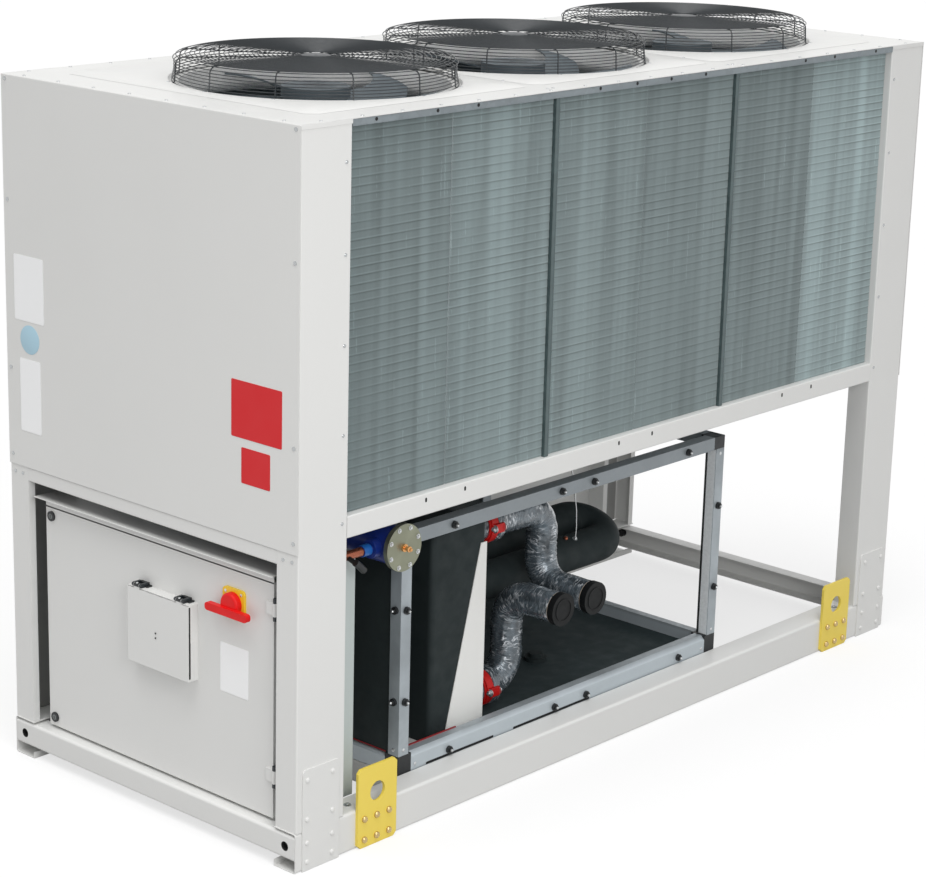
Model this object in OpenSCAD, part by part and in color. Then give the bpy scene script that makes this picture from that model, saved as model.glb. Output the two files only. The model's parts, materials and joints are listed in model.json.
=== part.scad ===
// Air cooled water chiller: a folded sheet frame with finned coils on both long sides, three fans
// on the deck, an electrical cabinet at the left end and the water side in the open bay below.
// X runs along the unit, Y across it and Z up. The origin is on the ground under the centre.

/* [Overall] */
// Length over the end panels
unit_l = 3065; // [2950:5:3300]
// Width over the corner posts
unit_w = 1292; // [1250:2:1400]
// Height of the fan deck above the ground
deck_z = 2191; // [2100:1:2400]
// Thickness of the folded frame sheets
sheet_t = 3; // [2:0.5:4]
// Thickness of the panels and deck plates
panel_t = 2; // [1.5:0.5:3]

/* [Base] */
// Height of the long base rails
base_h = 125; // [110:1:150]
// Width of the base rails' flanges
base_flange = 90; // [80:1:100]
// Height of the turned-up lip of the base rails
base_lip = 20; // [12:1:26]
// Outside radius of the folds
fold_r = 9; // [6:1:14]
// Height of the cross beams between the base rails
beam_h = 78; // [60:1:84]
// Width of the cross beams' flanges
beam_flange = 60; // [40:1:80]
// Height of the end beams above the ground
beam_z = 37; // [30:1:40]
// Diameter of the holes near the ends of the end beams
beam_hole_d = 30; // [16:1:40]

/* [Posts and rails] */
// Width of a corner post along the unit
post_w = 194; // [160:1:220]
// Depth of a corner post across the unit
post_d = 87; // [70:1:88]
// Lips of the corner posts
post_lip = 25; // [15:1:40]
// Underside of the rails that carry the coils
mid_rail_z = 984; // [960:1:1040]
// Height of the rails that carry the coils
mid_rail_h = 67; // [50:1:90]
// Width of the top flange that the coils stand on
coil_shelf = 150; // [140:1:170]
// Height of the rails over the end openings
end_rail_h = 45; // [35:1:60]
// Lower edge of the end panels
end_panel_z = 975; // [970:1:980]
// Width of the end panels' top flange
end_flange = 45; // [35:1:60]
// Width of the turned-in edge of the rear panel
rear_edge = 25; // [15:1:40]
// Height of the galvanised strip above the coils
top_strip_h = 20; // [15:1:30]
// Width of the top strips' flange under the deck
top_strip_flange = 60; // [45:1:70]
// Gusset plate width, height and thickness
gusset_w = 150; // [120:1:160]
gusset_h = 318; // [260:1:340]
gusset_t = 4; // [3:0.5:6]
// Radius of the gussets' upper corners
gusset_r = 14; // [6:1:25]

/* [Lifting plates] */
// Distance of the lifting plates from the ends of the unit
lift_set = 330.5; // [300:0.5:360]
// Lifting plate width, height and thickness
lift_w = 165; // [140:1:170]
lift_h = 254; // [230:1:280]
lift_t = 10; // [8:1:12]
// Diameter of the lifting holes
lift_hole_d = 62; // [40:1:70]
// Height of the lifting holes above the ground
lift_hole_z = 168; // [165:1:185]
// Cut-off upper corners of the lifting plates
lift_chamfer = 28; // [10:1:40]

/* [Coils] */
// Depth of the coil face behind the posts
coil_recess = 24; // [18:1:30]
// Thickness of a coil
coil_t = 90; // [70:1:100]
// Width and depth of the strips between the coils
strip_w = 18; // [12:1:30]
strip_d = 12; // [8:1:18]
// Depth of the relief between the ribs of a coil
rib_d = 5; // [3:1:8]
// Number of fields between the ribs of a slab
rib_fields = 4; // [2:1:6]
// Thickness of a rib
rib_t = 3; // [2:0.5:5]
// Gap between the two slabs of a coil
slab_gap = 4; // [2:1:8]

/* [Fans] */
// Distance between the fans
fan_pitch = 900; // [880:1:940]
// Shift of the fan row towards the front
fan_shift = 58; // [30:1:80]
// Inside radius of the fan opening
bell_r = 410; // [395:1:420]
// Depth of the ring below the deck
bell_h = 80; // [70:1:100]
// Radius of the flared mouth of the ring
bell_mouth_r = 30; // [15:1:36]
// Width of the flange that holds the ring under the deck
bell_flange = 24; // [16:1:34]
// Radius of the guard at its foot and at its rim
guard_foot_r = 434; // [432:1:445]
guard_rim_r = 427; // [424:1:430]
// Height of the guard over the deck
guard_h = 82; // [70:1:100]
// Thickness of the guard's bars
guard_bar = 6; // [4:1:8]
// Radius of the guard's rounded shoulder
guard_shoulder_r = 26; // [18:1:32]
// Number of radial bars in the guard
guard_spokes = 12; // [8:2:16]
// Number of rings on the top of the guard
guard_rings = 6; // [3:1:8]
// Number of rings on the side of the guard
guard_hoops = 3; // [1:1:4]
// Radius of the plate in the middle of the guard
guard_plate_r = 150; // [100:1:170]
// Radius at the blade tips
blade_tip_r = 388; // [370:1:390]
// Number of blades
blade_count = 5; // [4:1:7]
// Chord of a blade at its root and at its tip
blade_root_chord = 92; // [80:1:115]
blade_tip_chord = 150; // [130:1:200]
// Sweep of the blade tips in degrees
blade_sweep = 24; // [10:1:35]
// Pitch of the blades in degrees
blade_pitch = 24; // [15:1:28]
// Radius to which the blades are curved across their chord
blade_camber_r = 420; // [360:5:600]
// Thickness of a blade
blade_t = 5; // [4:0.5:8]
// Radius of the fan hub
hub_r = 105; // [95:1:115]
// Height of the fan hub
hub_h = 84; // [80:1:95]
// Depth of the hub's top below the deck
hub_drop = 12; // [5:1:25]
// Diameter of the fan shaft
shaft_d = 30; // [24:1:36]
// Radius and height of the motors under the fans
motor_r = 92; // [70:1:100]
motor_h = 40; // [30:1:60]
// Width and thickness of the straps that carry the motors
strap_w = 70; // [50:1:90]
strap_t = 4; // [3:0.5:6]

/* [Cabinet] */
// Depth of the door face behind the end of the unit
door_recess = 35; // [30:1:45]
// Door width, height and thickness
door_w = 1030; // [960:1:1040]
door_h = 731; // [680:1:735]
door_t = 20; // [16:1:24]
// Lower edge of the door
door_z = 125; // [122:1:135]
// Depth of the cabinet behind the door
cabinet_d = 285; // [220:5:300]
// Width of the frame of the cabinet around the door
cabinet_rim = 20; // [16:1:22]
// Diameter of the hinge pins of the door
door_pin_d = 8; // [6:1:10]
// Heights of the two door hinges
door_hinge_low = 263; // [220:1:320]
door_hinge_high = 780; // [720:1:800]
// Diameter of the locks
lock_d = 32; // [24:1:38]

/* [Controller and switch] */
// Controller housing width, height and depth
ctrl_w = 275; // [240:1:300]
ctrl_h = 242; // [200:1:260]
ctrl_d = 36; // [28:1:38]
// Place of the controller housing on the door
ctrl_y = -52; // [-70:1:-30]
ctrl_z = 470; // [440:1:490]
// Diameter of the hinge pins of the flap
flap_pin_d = 5; // [4:0.5:6]
// Size of the switch plate
switch_s = 92; // [80:1:100]
// Thickness of the switch plate
switch_t = 8; // [6:1:10]
// Place of the switch on the door
switch_y = -352; // [-370:1:-330]
switch_z = 754; // [735:1:770]
// Length of the switch handle
handle_l = 178; // [140:1:184]
// Width of the handle's bar and diameter of its round base
handle_w = 24; // [18:1:30]
handle_dome_d = 72; // [60:1:78]
// Distance of the handle's bar below the spindle
handle_drop = 20; // [0:1:24]
// Reach of the handle in front of the door
handle_reach = 40; // [36:1:54]
// Diameter of the switch spindle
spindle_d = 16; // [12:1:20]

/* [Enclosure] */
// Gap between the cabinet and the enclosure
enc_set = 182.5; // [165:0.5:200]
// Length of the enclosure
enc_l = 1605; // [1500:5:1700]
// Size of the square bars
enc_bar = 44; // [38:1:48]
// Height of the enclosure above the cross beams
enc_h = 783; // [750:1:800]
// Gap between the base rail and the enclosure
enc_gap = 4; // [2:1:10]
// Height of the bottom bars
sill_h = 62; // [54:1:70]
// Bevel on the outer upper edge of the bottom bars
sill_bevel = 14; // [8:1:20]
// Size of the corner blocks along the bars
block_w = 57; // [50:1:64]
// Thickness of the insulated walls at the left end and at the rear
wall_t = 30; // [20:1:36]
// Thickness of the floor sheet
floor_t = 4; // [3:1:6]
// Thickness of the mat on the floor
mat_t = 14; // [8:1:14]
// Diameter and height of the panel knobs
knob_d = 24; // [18:1:28]
knob_h = 14; // [10:1:18]
// Heights of the knobs on the uprights above the foot of the enclosure
knob_low = 238; // [200:1:300]
knob_high = 534; // [480:1:600]
// Height of the knobs on the bottom bars
sill_knob_z = 23; // [18:1:30]
// Diameter and height of the rubber mount
mount_d = 78; // [60:1:90]
mount_h = 26; // [20:1:36]

/* [Water side] */
// Heat exchanger length, depth and height
hx_l = 249; // [230:1:270]
hx_d = 390; // [340:1:420]
hx_h = 690; // [660:1:710]
// Distance of the heat exchanger from the left end of the enclosure
hx_left = 241; // [220:1:280]
// Distance of the heat exchanger behind the front of the enclosure
hx_set = 96; // [90:1:120]
// Radius of the heat exchanger's edges
hx_r = 18; // [8:1:30]
// Distance of the ports from the front of the heat exchanger
port_set = 96; // [90:1:110]
// Heights of the lower and upper ports
port_low_z = 206; // [206:1:220]
port_high_z = 765; // [740:1:770]
// Outside diameter of the wrapped water pipes
pipe_d = 106; // [90:1:108]
// Bend radius of the water pipes
pipe_bend_r = 92; // [85:1:100]
// Height of the pipe ends
pipe_end_z = 500; // [490:1:510]
// Radius of the first bend of the lower pipe
low_bend_r = 96; // [85:1:100]
// Distance between the two pipe ends
pipe_pitch = 162; // [150:1:190]
// Distance of the pipe ends in front of the enclosure
pipe_reach = 48; // [30:1:60]
// Diameter of the couplings
coupling_d = 126; // [116:1:128]
// Length of the couplings
coupling_l = 64; // [54:1:74]
// Diameter of the insulated suction pipe
suction_d = 126; // [110:1:130]
// Bend radius of the suction pipe
suction_bend_r = 79; // [72:1:90]
// Tilt of the suction pipe's return bend in degrees
suction_tilt = 18; // [0:1:30]
// Length of the suction pipe's straight runs
suction_l = 827; // [740:1:860]
// Distance of the suction pipe behind the ports and its height
suction_set = 124; // [120:1:145]
suction_z = 502; // [480:1:540]
// Tapered sheet in front of the heat exchanger: width at the foot and at the top, and height
bracket_w = 181; // [150:1:200]
bracket_top_w = 27; // [15:1:60]
bracket_h = 623; // [500:1:660]
// Distance of the tapered sheet from the left side of the heat exchanger
bracket_set = 67; // [40:1:68]
// Depth of the tapered sheet's foot
bracket_foot = 22; // [15:1:30]

/* [Filter drier] */
// Diameter of the drier shell and of its flange
drier_d = 122; // [110:1:122]
drier_flange_d = 146; // [136:1:152]
// Length of the drier shell
drier_l = 250; // [200:1:300]
// Distance of the drier's axis from the cabinet
drier_set = 119.5; // [110:0.5:120]
// Distance of the drier flange behind the front of the unit
drier_front = 26; // [20:1:40]
// Height of the drier's axis
drier_z = 890; // [880:1:900]
// Diameters of the drier's side nozzle at its neck and at its tip
neck_d = 58; // [50:1:66]
nozzle_d = 34; // [30:1:40]
// Lengths of the side nozzle to the end of the neck and to the tip
neck_l = 84; // [76:1:92]
nozzle_l = 118; // [105:1:118]
// Distance of the side nozzle behind the flange
nozzle_set = 48; // [42:1:50]
// Diameter and bend radius of the liquid line
line_d = 28; // [22:1:28]
line_bend_r = 45; // [40:1:50]
// Straight length of the liquid line at the nozzle
line_run = 59; // [40:1:65]

/* [Hidden] */
$fn = 48;
run_gap = 0.05;
seat_gap = 0.3;
half_l = unit_l / 2;
half_w = unit_w / 2;
panel_bend = panel_t / 2;
post_end = half_l - panel_t - panel_bend;
post_in = post_end - post_w;
post_top = deck_z - panel_t;
post_side = half_w - post_d;
base_in = half_w - base_flange;
web_in = half_w - sheet_t;
beam_top = base_h - sheet_t;
lift_x = half_l - lift_set;
coil_z0 = mid_rail_z + mid_rail_h;
coil_z1 = post_top - top_strip_h;
coil_out = half_w - coil_recess;
coil_in = coil_out - coil_t;
fan_y = -fan_shift;
fan_xs = [-fan_pitch, 0, fan_pitch];
deck_in = half_l - end_flange;
guard_inset = guard_bar / 2;
guard_top = deck_z + guard_h;
guard_seat = guard_top - guard_bar - guard_inset;
hub_z = deck_z - hub_drop - hub_h;
collar_h = 8;
collar_rim = 12;
motor_z = hub_z - seat_gap - collar_h - motor_h;
strap_gap = 15;
fan_turns = [-3, 7, 31];
blade_root = 20;
door_x = -half_l + door_recess;
door_gap = 5;
rim_x = door_x + door_t + door_gap;
cabinet_back = rim_x + cabinet_d;
cabinet_hw = door_w / 2 + cabinet_rim;
cabinet_z0 = beam_z + beam_h;
hood_gap = 28;
cabinet_z1 = door_z + door_h + hood_gap;
hinge_set = 14;
door_hinge_y = -door_w / 2 - hinge_set;
door_hinge_x = door_x - door_pin_d;
knuckle_l = 40;
knuckle_d = 2 * door_pin_d;
arm_l = 14;
leaf_w = 30;
lock_h = 6;
lock_set_y = 28;
lock_set_z = 30;
ctrl_front = door_x - ctrl_d;
ctrl_top = ctrl_z + ctrl_h;
flap_gap = 0.4;
flap_t = 2;
flap_knuckle_d = 12;
flap_knuckle_l = 24;
flap_ear_t = 8;
flap_ear_l = 26;
flap_lift = 7;
flap_back = ctrl_front - flap_gap;
flap_axis_x = flap_back - 2 * flap_t + flap_knuckle_d / 2;
flap_axis_z = ctrl_top + flap_lift;
flap_top = ctrl_top - 2 * flap_t;
flap_leaf = 5;
flap_hinge_set = 95;
flap_hinge_y = [ctrl_y - flap_hinge_set, ctrl_y + flap_hinge_set];
switch_r = 14;
handle_d = handle_reach - switch_t;
handle_bar_t = handle_d * 0.55;
handle_r = 10;
dome_r = 8;
enc_x0 = cabinet_back + enc_set;
enc_x1 = enc_x0 + enc_l;
enc_mid = (enc_x0 + enc_x1) / 2;
enc_y0 = -base_in + enc_gap;
enc_y1 = -enc_y0;
enc_z0 = beam_top;
enc_z1 = enc_z0 + enc_h;
wall_set = (enc_bar - wall_t) / 2;
floor_z = enc_z0 + floor_t;
mat_z = floor_z + mat_t;
mat_gap = 5;
knob_xs = [228, 738, 899, 1398];
mount_set_x = 545;
mount_set_y = 145;
hx_x = enc_x0 + hx_left;
hx_x1 = hx_x + hx_l;
hx_y0 = enc_y0 + hx_set;
port_y = hx_y0 + port_set;
stub_l = 60;
coupling_x1 = hx_x1 + stub_l + coupling_l;
coupling_step = 6;
lug_l = 40;
lug_w = 20;
lug_h = 30;
pipe_low_x = coupling_x1 + low_bend_r;
pipe_high_x = pipe_low_x + pipe_pitch;
pipe_end_y = enc_y0 - pipe_reach;
cap_l = 24;
cap_rim = 2;
cap_ridge_r = 38;
cap_ridge_w = 3;
cap_ridge_h = 2;
drier_x = cabinet_back + drier_set;
drier_y0 = -half_w + drier_front;
drier_flange_t = 16;
nozzle_y = drier_y0 + drier_flange_t + nozzle_set;

panel_colour = [0.84, 0.84, 0.83];
zinc_colour = [0.62, 0.65, 0.68];
dark_colour = [0.12, 0.13, 0.13];
motor_colour = [0.25, 0.26, 0.27];
fan_colour = [0.2, 0.21, 0.22];
fin_colour = [0.55, 0.58, 0.6];
bar_colour = [0.72, 0.74, 0.76];
wrap_colour = [0.7, 0.72, 0.74];

// Extrudes a profile drawn in Y and Z along X, centred
module along_x(length) {
    rotate([90, 0, 90]) linear_extrude(length, center = true) children();
}

// Extrudes a profile drawn in X and Z along Y, centred
module along_y(length) {
    rotate([90, 0, 0]) linear_extrude(length, center = true) children();
}

// Copies its children to the front and to the rear
module front_and_rear() {
    children();
    mirror([0, 1, 0]) children();
}

// Copies its children to the left and to the right
module left_and_right() {
    children();
    mirror([1, 0, 0]) children();
}

// Two legs of sheet with a rounded outside corner at the origin
module fold(leg_a, leg_b, t, r) {
    translate([r, 0]) square([leg_a - r, t]);
    translate([0, r]) square([t, leg_b - r]);
    intersection() {
        translate([r, r]) difference() {
            circle(r);
            circle(r - t);
        }
        square(r);
    }
}

// Channel with its web on the second axis and flanges of two widths
module channel(web, low_flange, high_flange, t, r) {
    fold(low_flange, web / 2, t, r);
    translate([0, web]) mirror([0, 1]) fold(high_flange, web / 2, t, r);
}

// Rectangle with round corners, centred
module round_rect(w, h, r) {
    square([w - 2 * r, h], center = true);
    square([w, h - 2 * r], center = true);
    for (sx = [-1, 1], sy = [-1, 1]) translate([sx * (w / 2 - r), sy * (h / 2 - r)]) circle(r);
}

// Base rail on the front side: a channel with its lower flange turned up
module base_rail() {
    translate([0, -half_w, 0]) along_x(unit_l) {
        channel(base_h, base_flange, base_flange, sheet_t, fold_r);
        translate([base_flange - sheet_t, sheet_t / 2]) square([sheet_t, base_lip]);
    }
}

module base_rails() {
    color(panel_colour) front_and_rear() base_rail();
}

// Beam across the base with its web on the left side
module cross_beam(length, z) {
    translate([0, 0, z]) along_y(length) channel(beam_h, beam_flange, beam_flange, sheet_t, fold_r);
}

module base_beams() {
    inner_l = 2 * (half_w - fold_r);
    color(panel_colour) {
        left_and_right() difference() {
            translate([-half_l, 0, 0]) cross_beam(2 * web_in, beam_z);
            for (side = [-1, 1])
                translate([-half_l - 1, side * (half_w - base_flange / 2), beam_z + beam_h / 2])
                    rotate([0, 90, 0]) cylinder(d = beam_hole_d, h = sheet_t + 2);
        }
        for (x = [enc_x0, enc_mid, enc_x1 - beam_flange])
            translate([x, 0, 0]) cross_beam(inner_l, beam_top - beam_h);
    }
}

// Corner post at the front left: a lipped channel open towards the inside
module corner_post() {
    translate([-post_end, -half_w, base_h]) linear_extrude(post_top - base_h) {
        fold(post_w / 2, post_d, sheet_t, fold_r / 2);
        translate([post_w, 0]) mirror([1, 0]) fold(post_w / 2, post_d, sheet_t, fold_r / 2);
        translate([0, post_d - sheet_t]) square([post_lip, sheet_t]);
        translate([post_w - post_lip, post_d - sheet_t]) square([post_lip, sheet_t]);
    }
}

module corner_posts() {
    color(panel_colour) front_and_rear() left_and_right() corner_post();
}

// Plates that tie the posts to the base rails
module gusset_plates() {
    gusset_x = post_end - post_w / 2;
    color(panel_colour) front_and_rear() left_and_right()
        translate([-gusset_x, -half_w - gusset_t / 2, gusset_h / 2]) along_y(gusset_t) {
            round_rect(gusset_w, gusset_h, gusset_r);
            translate([0, -gusset_h / 4]) square([gusset_w, gusset_h / 2], center = true);
        }
}

module lifting_plates() {
    outline = [[-lift_w / 2, 0], [lift_w / 2, 0], [lift_w / 2, lift_h - lift_chamfer],
        [lift_w / 2 - lift_chamfer, lift_h], [lift_chamfer - lift_w / 2, lift_h],
        [-lift_w / 2, lift_h - lift_chamfer]];
    color([0.92, 0.78, 0.2]) front_and_rear() left_and_right()
        translate([-lift_x, -half_w - lift_t / 2, 0]) along_y(lift_t) difference() {
            polygon(outline);
            translate([0, lift_hole_z]) circle(d = lift_hole_d);
        }
}

// Rail that carries a coil, with its top flange as a shelf
module mid_rail() {
    translate([0, -half_w, mid_rail_z]) along_x(2 * post_in)
        channel(mid_rail_h, beam_flange, coil_shelf, sheet_t, fold_r / 2);
}

module mid_rails() {
    color(panel_colour) front_and_rear() mid_rail();
}

// Rails over the two end openings
module end_rails() {
    color(panel_colour) left_and_right() translate([-post_end, 0, end_panel_z - end_rail_h])
        along_y(2 * post_side) channel(end_rail_h, end_rail_h, end_rail_h, sheet_t, fold_r / 2);
}

// End panel with its top folded over the posts
module end_panel() {
    panel_h = deck_z - end_panel_z;
    translate([-half_l, 0, deck_z]) along_y(unit_w) mirror([0, 1])
        fold(end_flange, panel_h, panel_t, panel_t + panel_bend);
}

module end_panels() {
    color(panel_colour) left_and_right() end_panel();
}

// Panel at the rear, between the enclosure and the right post, with its free edge turned in
module rear_panel() {
    color(panel_colour) translate([enc_x1, half_w - fold_r, base_h]) linear_extrude(mid_rail_z - base_h)
        mirror([0, 1]) fold(post_in - enc_x1, rear_edge, panel_t, panel_t + panel_bend);
}

module top_strips() {
    color(zinc_colour) front_and_rear() translate([0, -half_w, post_top]) along_x(2 * post_in)
        mirror([0, 1]) fold(top_strip_flange, top_strip_h, panel_t, panel_t + panel_bend);
}

// Sheet that closes the air space between the coils from below
module plenum_floor() {
    color(zinc_colour) translate([-post_in, -coil_in, coil_z0]) cube([2 * post_in, 2 * coil_in, panel_t]);
}

// One slab of finned coil on the front side, with upright ribs in front of the core
module coil_slab(x0, x1) {
    rib_step = (x1 - x0 - rib_t) / rib_fields;
    translate([x0, -coil_out, coil_z0]) linear_extrude(coil_z1 - coil_z0) {
        translate([0, rib_d]) square([x1 - x0, coil_t - rib_d]);
        for (i = [0:rib_fields]) translate([i * rib_step, 0]) square([rib_t, 2 * rib_d]);
    }
}

// Coils of one side: two slabs under each fan
module coil_side() {
    edges = [-post_in, -fan_pitch / 2, fan_pitch / 2, post_in];
    for (i = [0:2]) {
        coil_slab(edges[i] + slab_gap / 2, fan_xs[i] - slab_gap / 2);
        coil_slab(fan_xs[i] + slab_gap / 2, edges[i + 1] - slab_gap / 2);
    }
}

module coil_front() {
    color(fin_colour) coil_side();
}

module coil_rear() {
    color(fin_colour) mirror([0, 1, 0]) coil_side();
}

// Galvanised strips over the joints between the coils
module coil_strips() {
    color(zinc_colour) front_and_rear() left_and_right()
        translate([-fan_pitch / 2 - strip_w / 2, -coil_out - strip_d, coil_z0])
            cube([strip_w, strip_d, coil_z1 - coil_z0]);
}

// Deck plate of one fan with its round opening
module fan_deck(x0, x1, fan_x) {
    difference() {
        translate([x0, -half_w, deck_z - panel_t]) cube([x1 - x0, unit_w, panel_t]);
        translate([fan_x, fan_y, deck_z - panel_t - 1]) cylinder(r = bell_r, h = panel_t + 2, $fn = 96);
    }
}

module fan_deck_left() {
    color(panel_colour) fan_deck(-deck_in, -fan_pitch / 2, -fan_pitch);
}

module fan_deck_middle() {
    color(panel_colour) fan_deck(-fan_pitch / 2, fan_pitch / 2, 0);
}

module fan_deck_right() {
    color(panel_colour) fan_deck(fan_pitch / 2, deck_in, fan_pitch);
}

// Ring under the deck: a flange, a straight wall and a flared mouth
module fan_bells() {
    wall_h = bell_h - bell_mouth_r;
    color(panel_colour) for (x = fan_xs) translate([x, fan_y, deck_z - panel_t]) rotate_extrude($fn = 96) {
        translate([bell_r, -panel_t]) square([bell_flange, panel_t]);
        translate([bell_r, -wall_h]) square([panel_t, wall_h]);
        translate([bell_r + bell_mouth_r, -wall_h]) intersection() {
            difference() {
                circle(bell_mouth_r);
                circle(bell_mouth_r - panel_t);
            }
            translate([-bell_mouth_r, -bell_mouth_r]) square(bell_mouth_r);
        }
    }
}

// Ring of square bar
module hoop(r, z) {
    translate([0, 0, z]) rotate_extrude($fn = 96) translate([r - guard_bar, 0]) square(guard_bar);
}

// Bent bar of the guard, seen from the side: over the top, round the shoulder, down and out to its foot
module guard_spoke() {
    shoulder = guard_rim_r - guard_shoulder_r;
    drop = guard_h - guard_shoulder_r;
    translate([guard_plate_r / 2, guard_h - guard_bar]) square([shoulder - guard_plate_r / 2, guard_bar]);
    translate([shoulder, drop]) intersection() {
        difference() {
            circle(guard_shoulder_r);
            circle(guard_shoulder_r - guard_bar);
        }
        square(guard_shoulder_r);
    }
    translate([guard_rim_r - guard_bar, 0]) square([guard_bar, drop]);
    translate([guard_rim_r - guard_bar, 0]) square([guard_foot_r - guard_rim_r + guard_inset, guard_bar]);
}

// Wire guard of a fan, standing on the deck
module fan_guard(fan_x) {
    ring_step = (guard_rim_r - guard_shoulder_r - guard_plate_r) / (guard_rings + 0.5);
    hoop_step = (guard_h - guard_shoulder_r) / (guard_hoops + 0.5);
    ring_z = guard_seat - deck_z;
    translate([fan_x, fan_y, deck_z]) {
        hoop(guard_foot_r, 0);
        for (i = [1:guard_rings]) hoop(guard_plate_r + i * ring_step, ring_z);
        for (i = [1:guard_hoops]) hoop(guard_rim_r - guard_inset, i * hoop_step - guard_bar);
        translate([0, 0, ring_z]) cylinder(r = guard_plate_r, h = guard_bar);
        for (i = [0:guard_spokes - 1]) rotate(i * 360 / guard_spokes) along_y(guard_bar) guard_spoke();
    }
}

module fan_guard_left() {
    color(dark_colour) fan_guard(-fan_pitch);
}

module fan_guard_middle() {
    color(dark_colour) fan_guard(0);
}

module fan_guard_right() {
    color(dark_colour) fan_guard(fan_pitch);
}

// Strap across the unit that hangs from the deck and carries a motor
module motor_strap() {
    strap_hw = coil_in - strap_gap;
    strap_z = motor_z - strap_t;
    along_x(strap_w) {
        translate([-strap_hw, strap_z]) square([2 * strap_hw, strap_t]);
        for (y = [-strap_hw, strap_hw - strap_t])
            translate([y, strap_z]) square([strap_t, post_top - strap_z]);
    }
}

// Motors on their straps, with the shafts and the collars that carry the fans
module fan_motors() {
    shaft_l = motor_h / 2 + collar_h + hub_h;
    color(motor_colour) for (x = fan_xs) {
        translate([x, 0, 0]) motor_strap();
        translate([x, fan_y, motor_z]) {
            cylinder(r = motor_r, h = motor_h);
            translate([0, 0, motor_h / 2]) cylinder(d = shaft_d, h = shaft_l);
            cylinder(d = shaft_d + 2 * collar_rim, h = motor_h + collar_h);
        }
    }
}

// Angle of the leading edge at a share of the span from root to tip
function lead_angle(share) = blade_sweep * (share * share - 0.5);

// Chord at a share of the span
function chord_at(share) = blade_root_chord + (blade_tip_chord - blade_root_chord) * share;

// Point of a blade edge: share of the span and share of the chord
function edge_point(share, along) =
    let (root = hub_r - blade_root)
    let (r = root + (blade_tip_r - root) * share)
    let (turn = lead_angle(share) + (along - 0.5) * chord_at(share) / r * 180 / PI)
    [r * cos(turn), r * sin(turn)];

// One sickle blade: the outline cut from a pitched and curved sheet
module blade() {
    steps = 8;
    outline = concat([for (i = [0:steps]) edge_point(i / steps, 0)],
        [for (i = [1:3]) edge_point(1, i / 4)],
        [for (i = [0:steps]) edge_point(1 - i / steps, 1)]);
    intersection() {
        linear_extrude(2 * hub_h, center = true) polygon(outline);
        rotate([blade_pitch, 0, 0]) translate([0, 0, -blade_camber_r]) rotate([0, 90, 0]) difference() {
            cylinder(r = blade_camber_r + blade_t / 2, h = blade_tip_r);
            translate([0, 0, -1]) cylinder(r = blade_camber_r - blade_t / 2, h = blade_tip_r + 2);
        }
    }
}

// Fan with its hub and blades, at its rest angle
module fan_rotor(number) {
    translate([fan_xs[number], fan_y, hub_z]) rotate(fan_turns[number]) difference() {
        union() {
            cylinder(r = hub_r, h = hub_h);
            translate([0, 0, hub_h / 2]) for (i = [0:blade_count - 1]) rotate(i * 360 / blade_count) blade();
        }
        translate([0, 0, -1]) cylinder(d = shaft_d + 2 * run_gap, h = hub_h + 2);
    }
}

module fan_rotor_left() {
    color(fan_colour) fan_rotor(0);
}

module fan_rotor_middle() {
    color(fan_colour) fan_rotor(1);
}

module fan_rotor_right() {
    color(fan_colour) fan_rotor(2);
}

// Cabinet body: a sheet box, open behind the door
module cabinet_box() {
    box_h = cabinet_z1 - cabinet_z0;
    box_w = 2 * cabinet_hw;
    frame_w = 2 * cabinet_rim;
    color(panel_colour) translate([rim_x, -cabinet_hw, cabinet_z0]) difference() {
        cube([cabinet_d, box_w, box_h]);
        translate([sheet_t, sheet_t, sheet_t])
            cube([cabinet_d - 2 * sheet_t, box_w - 2 * sheet_t, box_h - 2 * sheet_t]);
        translate([-1, frame_w, frame_w]) cube([sheet_t + 2, box_w - 2 * frame_w, box_h - 2 * frame_w]);
    }
}

// Rain hood over the door
module cabinet_hood() {
    color(panel_colour) translate([-half_l + sheet_t, 0, cabinet_z1]) along_y(2 * cabinet_hw)
        square([cabinet_back + half_l - sheet_t, panel_t]);
}

// Hinges on the cabinet: two arms and a pin each
module cabinet_hinges() {
    arm_w = knuckle_d - 2;
    color(dark_colour) for (z = [door_hinge_low, door_hinge_high])
        translate([door_hinge_x, door_hinge_y, z]) {
            cylinder(d = door_pin_d, h = knuckle_l + 2 * arm_l, center = true);
            for (side = [-1, 1]) translate([0, 0, side * (knuckle_l + arm_l) / 2]) {
                cylinder(d = arm_w, h = arm_l - 2 * seat_gap, center = true);
                translate([0, -arm_w / 2, seat_gap - arm_l / 2])
                    cube([rim_x - door_hinge_x, arm_w, arm_l - 2 * seat_gap]);
            }
        }
}

// Door: a pan of sheet with the hinge knuckles on its right edge
module cabinet_door() {
    color(panel_colour) difference() {
        union() {
            translate([door_x, -door_w / 2, door_z]) cube([door_t, door_w, door_h]);
            for (z = [door_hinge_low, door_hinge_high]) translate([door_hinge_x, door_hinge_y, z]) {
                cylinder(d = knuckle_d, h = knuckle_l, center = true);
                translate([0, 0, -knuckle_l / 2])
                    cube([door_x - door_hinge_x, leaf_w + knuckle_d / 2, knuckle_l]);
            }
        }
        translate([door_x + sheet_t, sheet_t - door_w / 2, door_z + sheet_t])
            cube([door_t, door_w - 2 * sheet_t, door_h - 2 * sheet_t]);
        for (z = [door_hinge_low, door_hinge_high]) translate([door_hinge_x, door_hinge_y, z])
            cylinder(d = door_pin_d + 2 * run_gap, h = knuckle_l + 2, center = true);
    }
}

module door_locks() {
    color(dark_colour) for (z = [door_z + lock_set_z, door_z + door_h - lock_set_z])
        translate([door_x, door_w / 2 - lock_set_y, z]) rotate([0, -90, 0]) cylinder(d = lock_d, h = lock_h);
}

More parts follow.
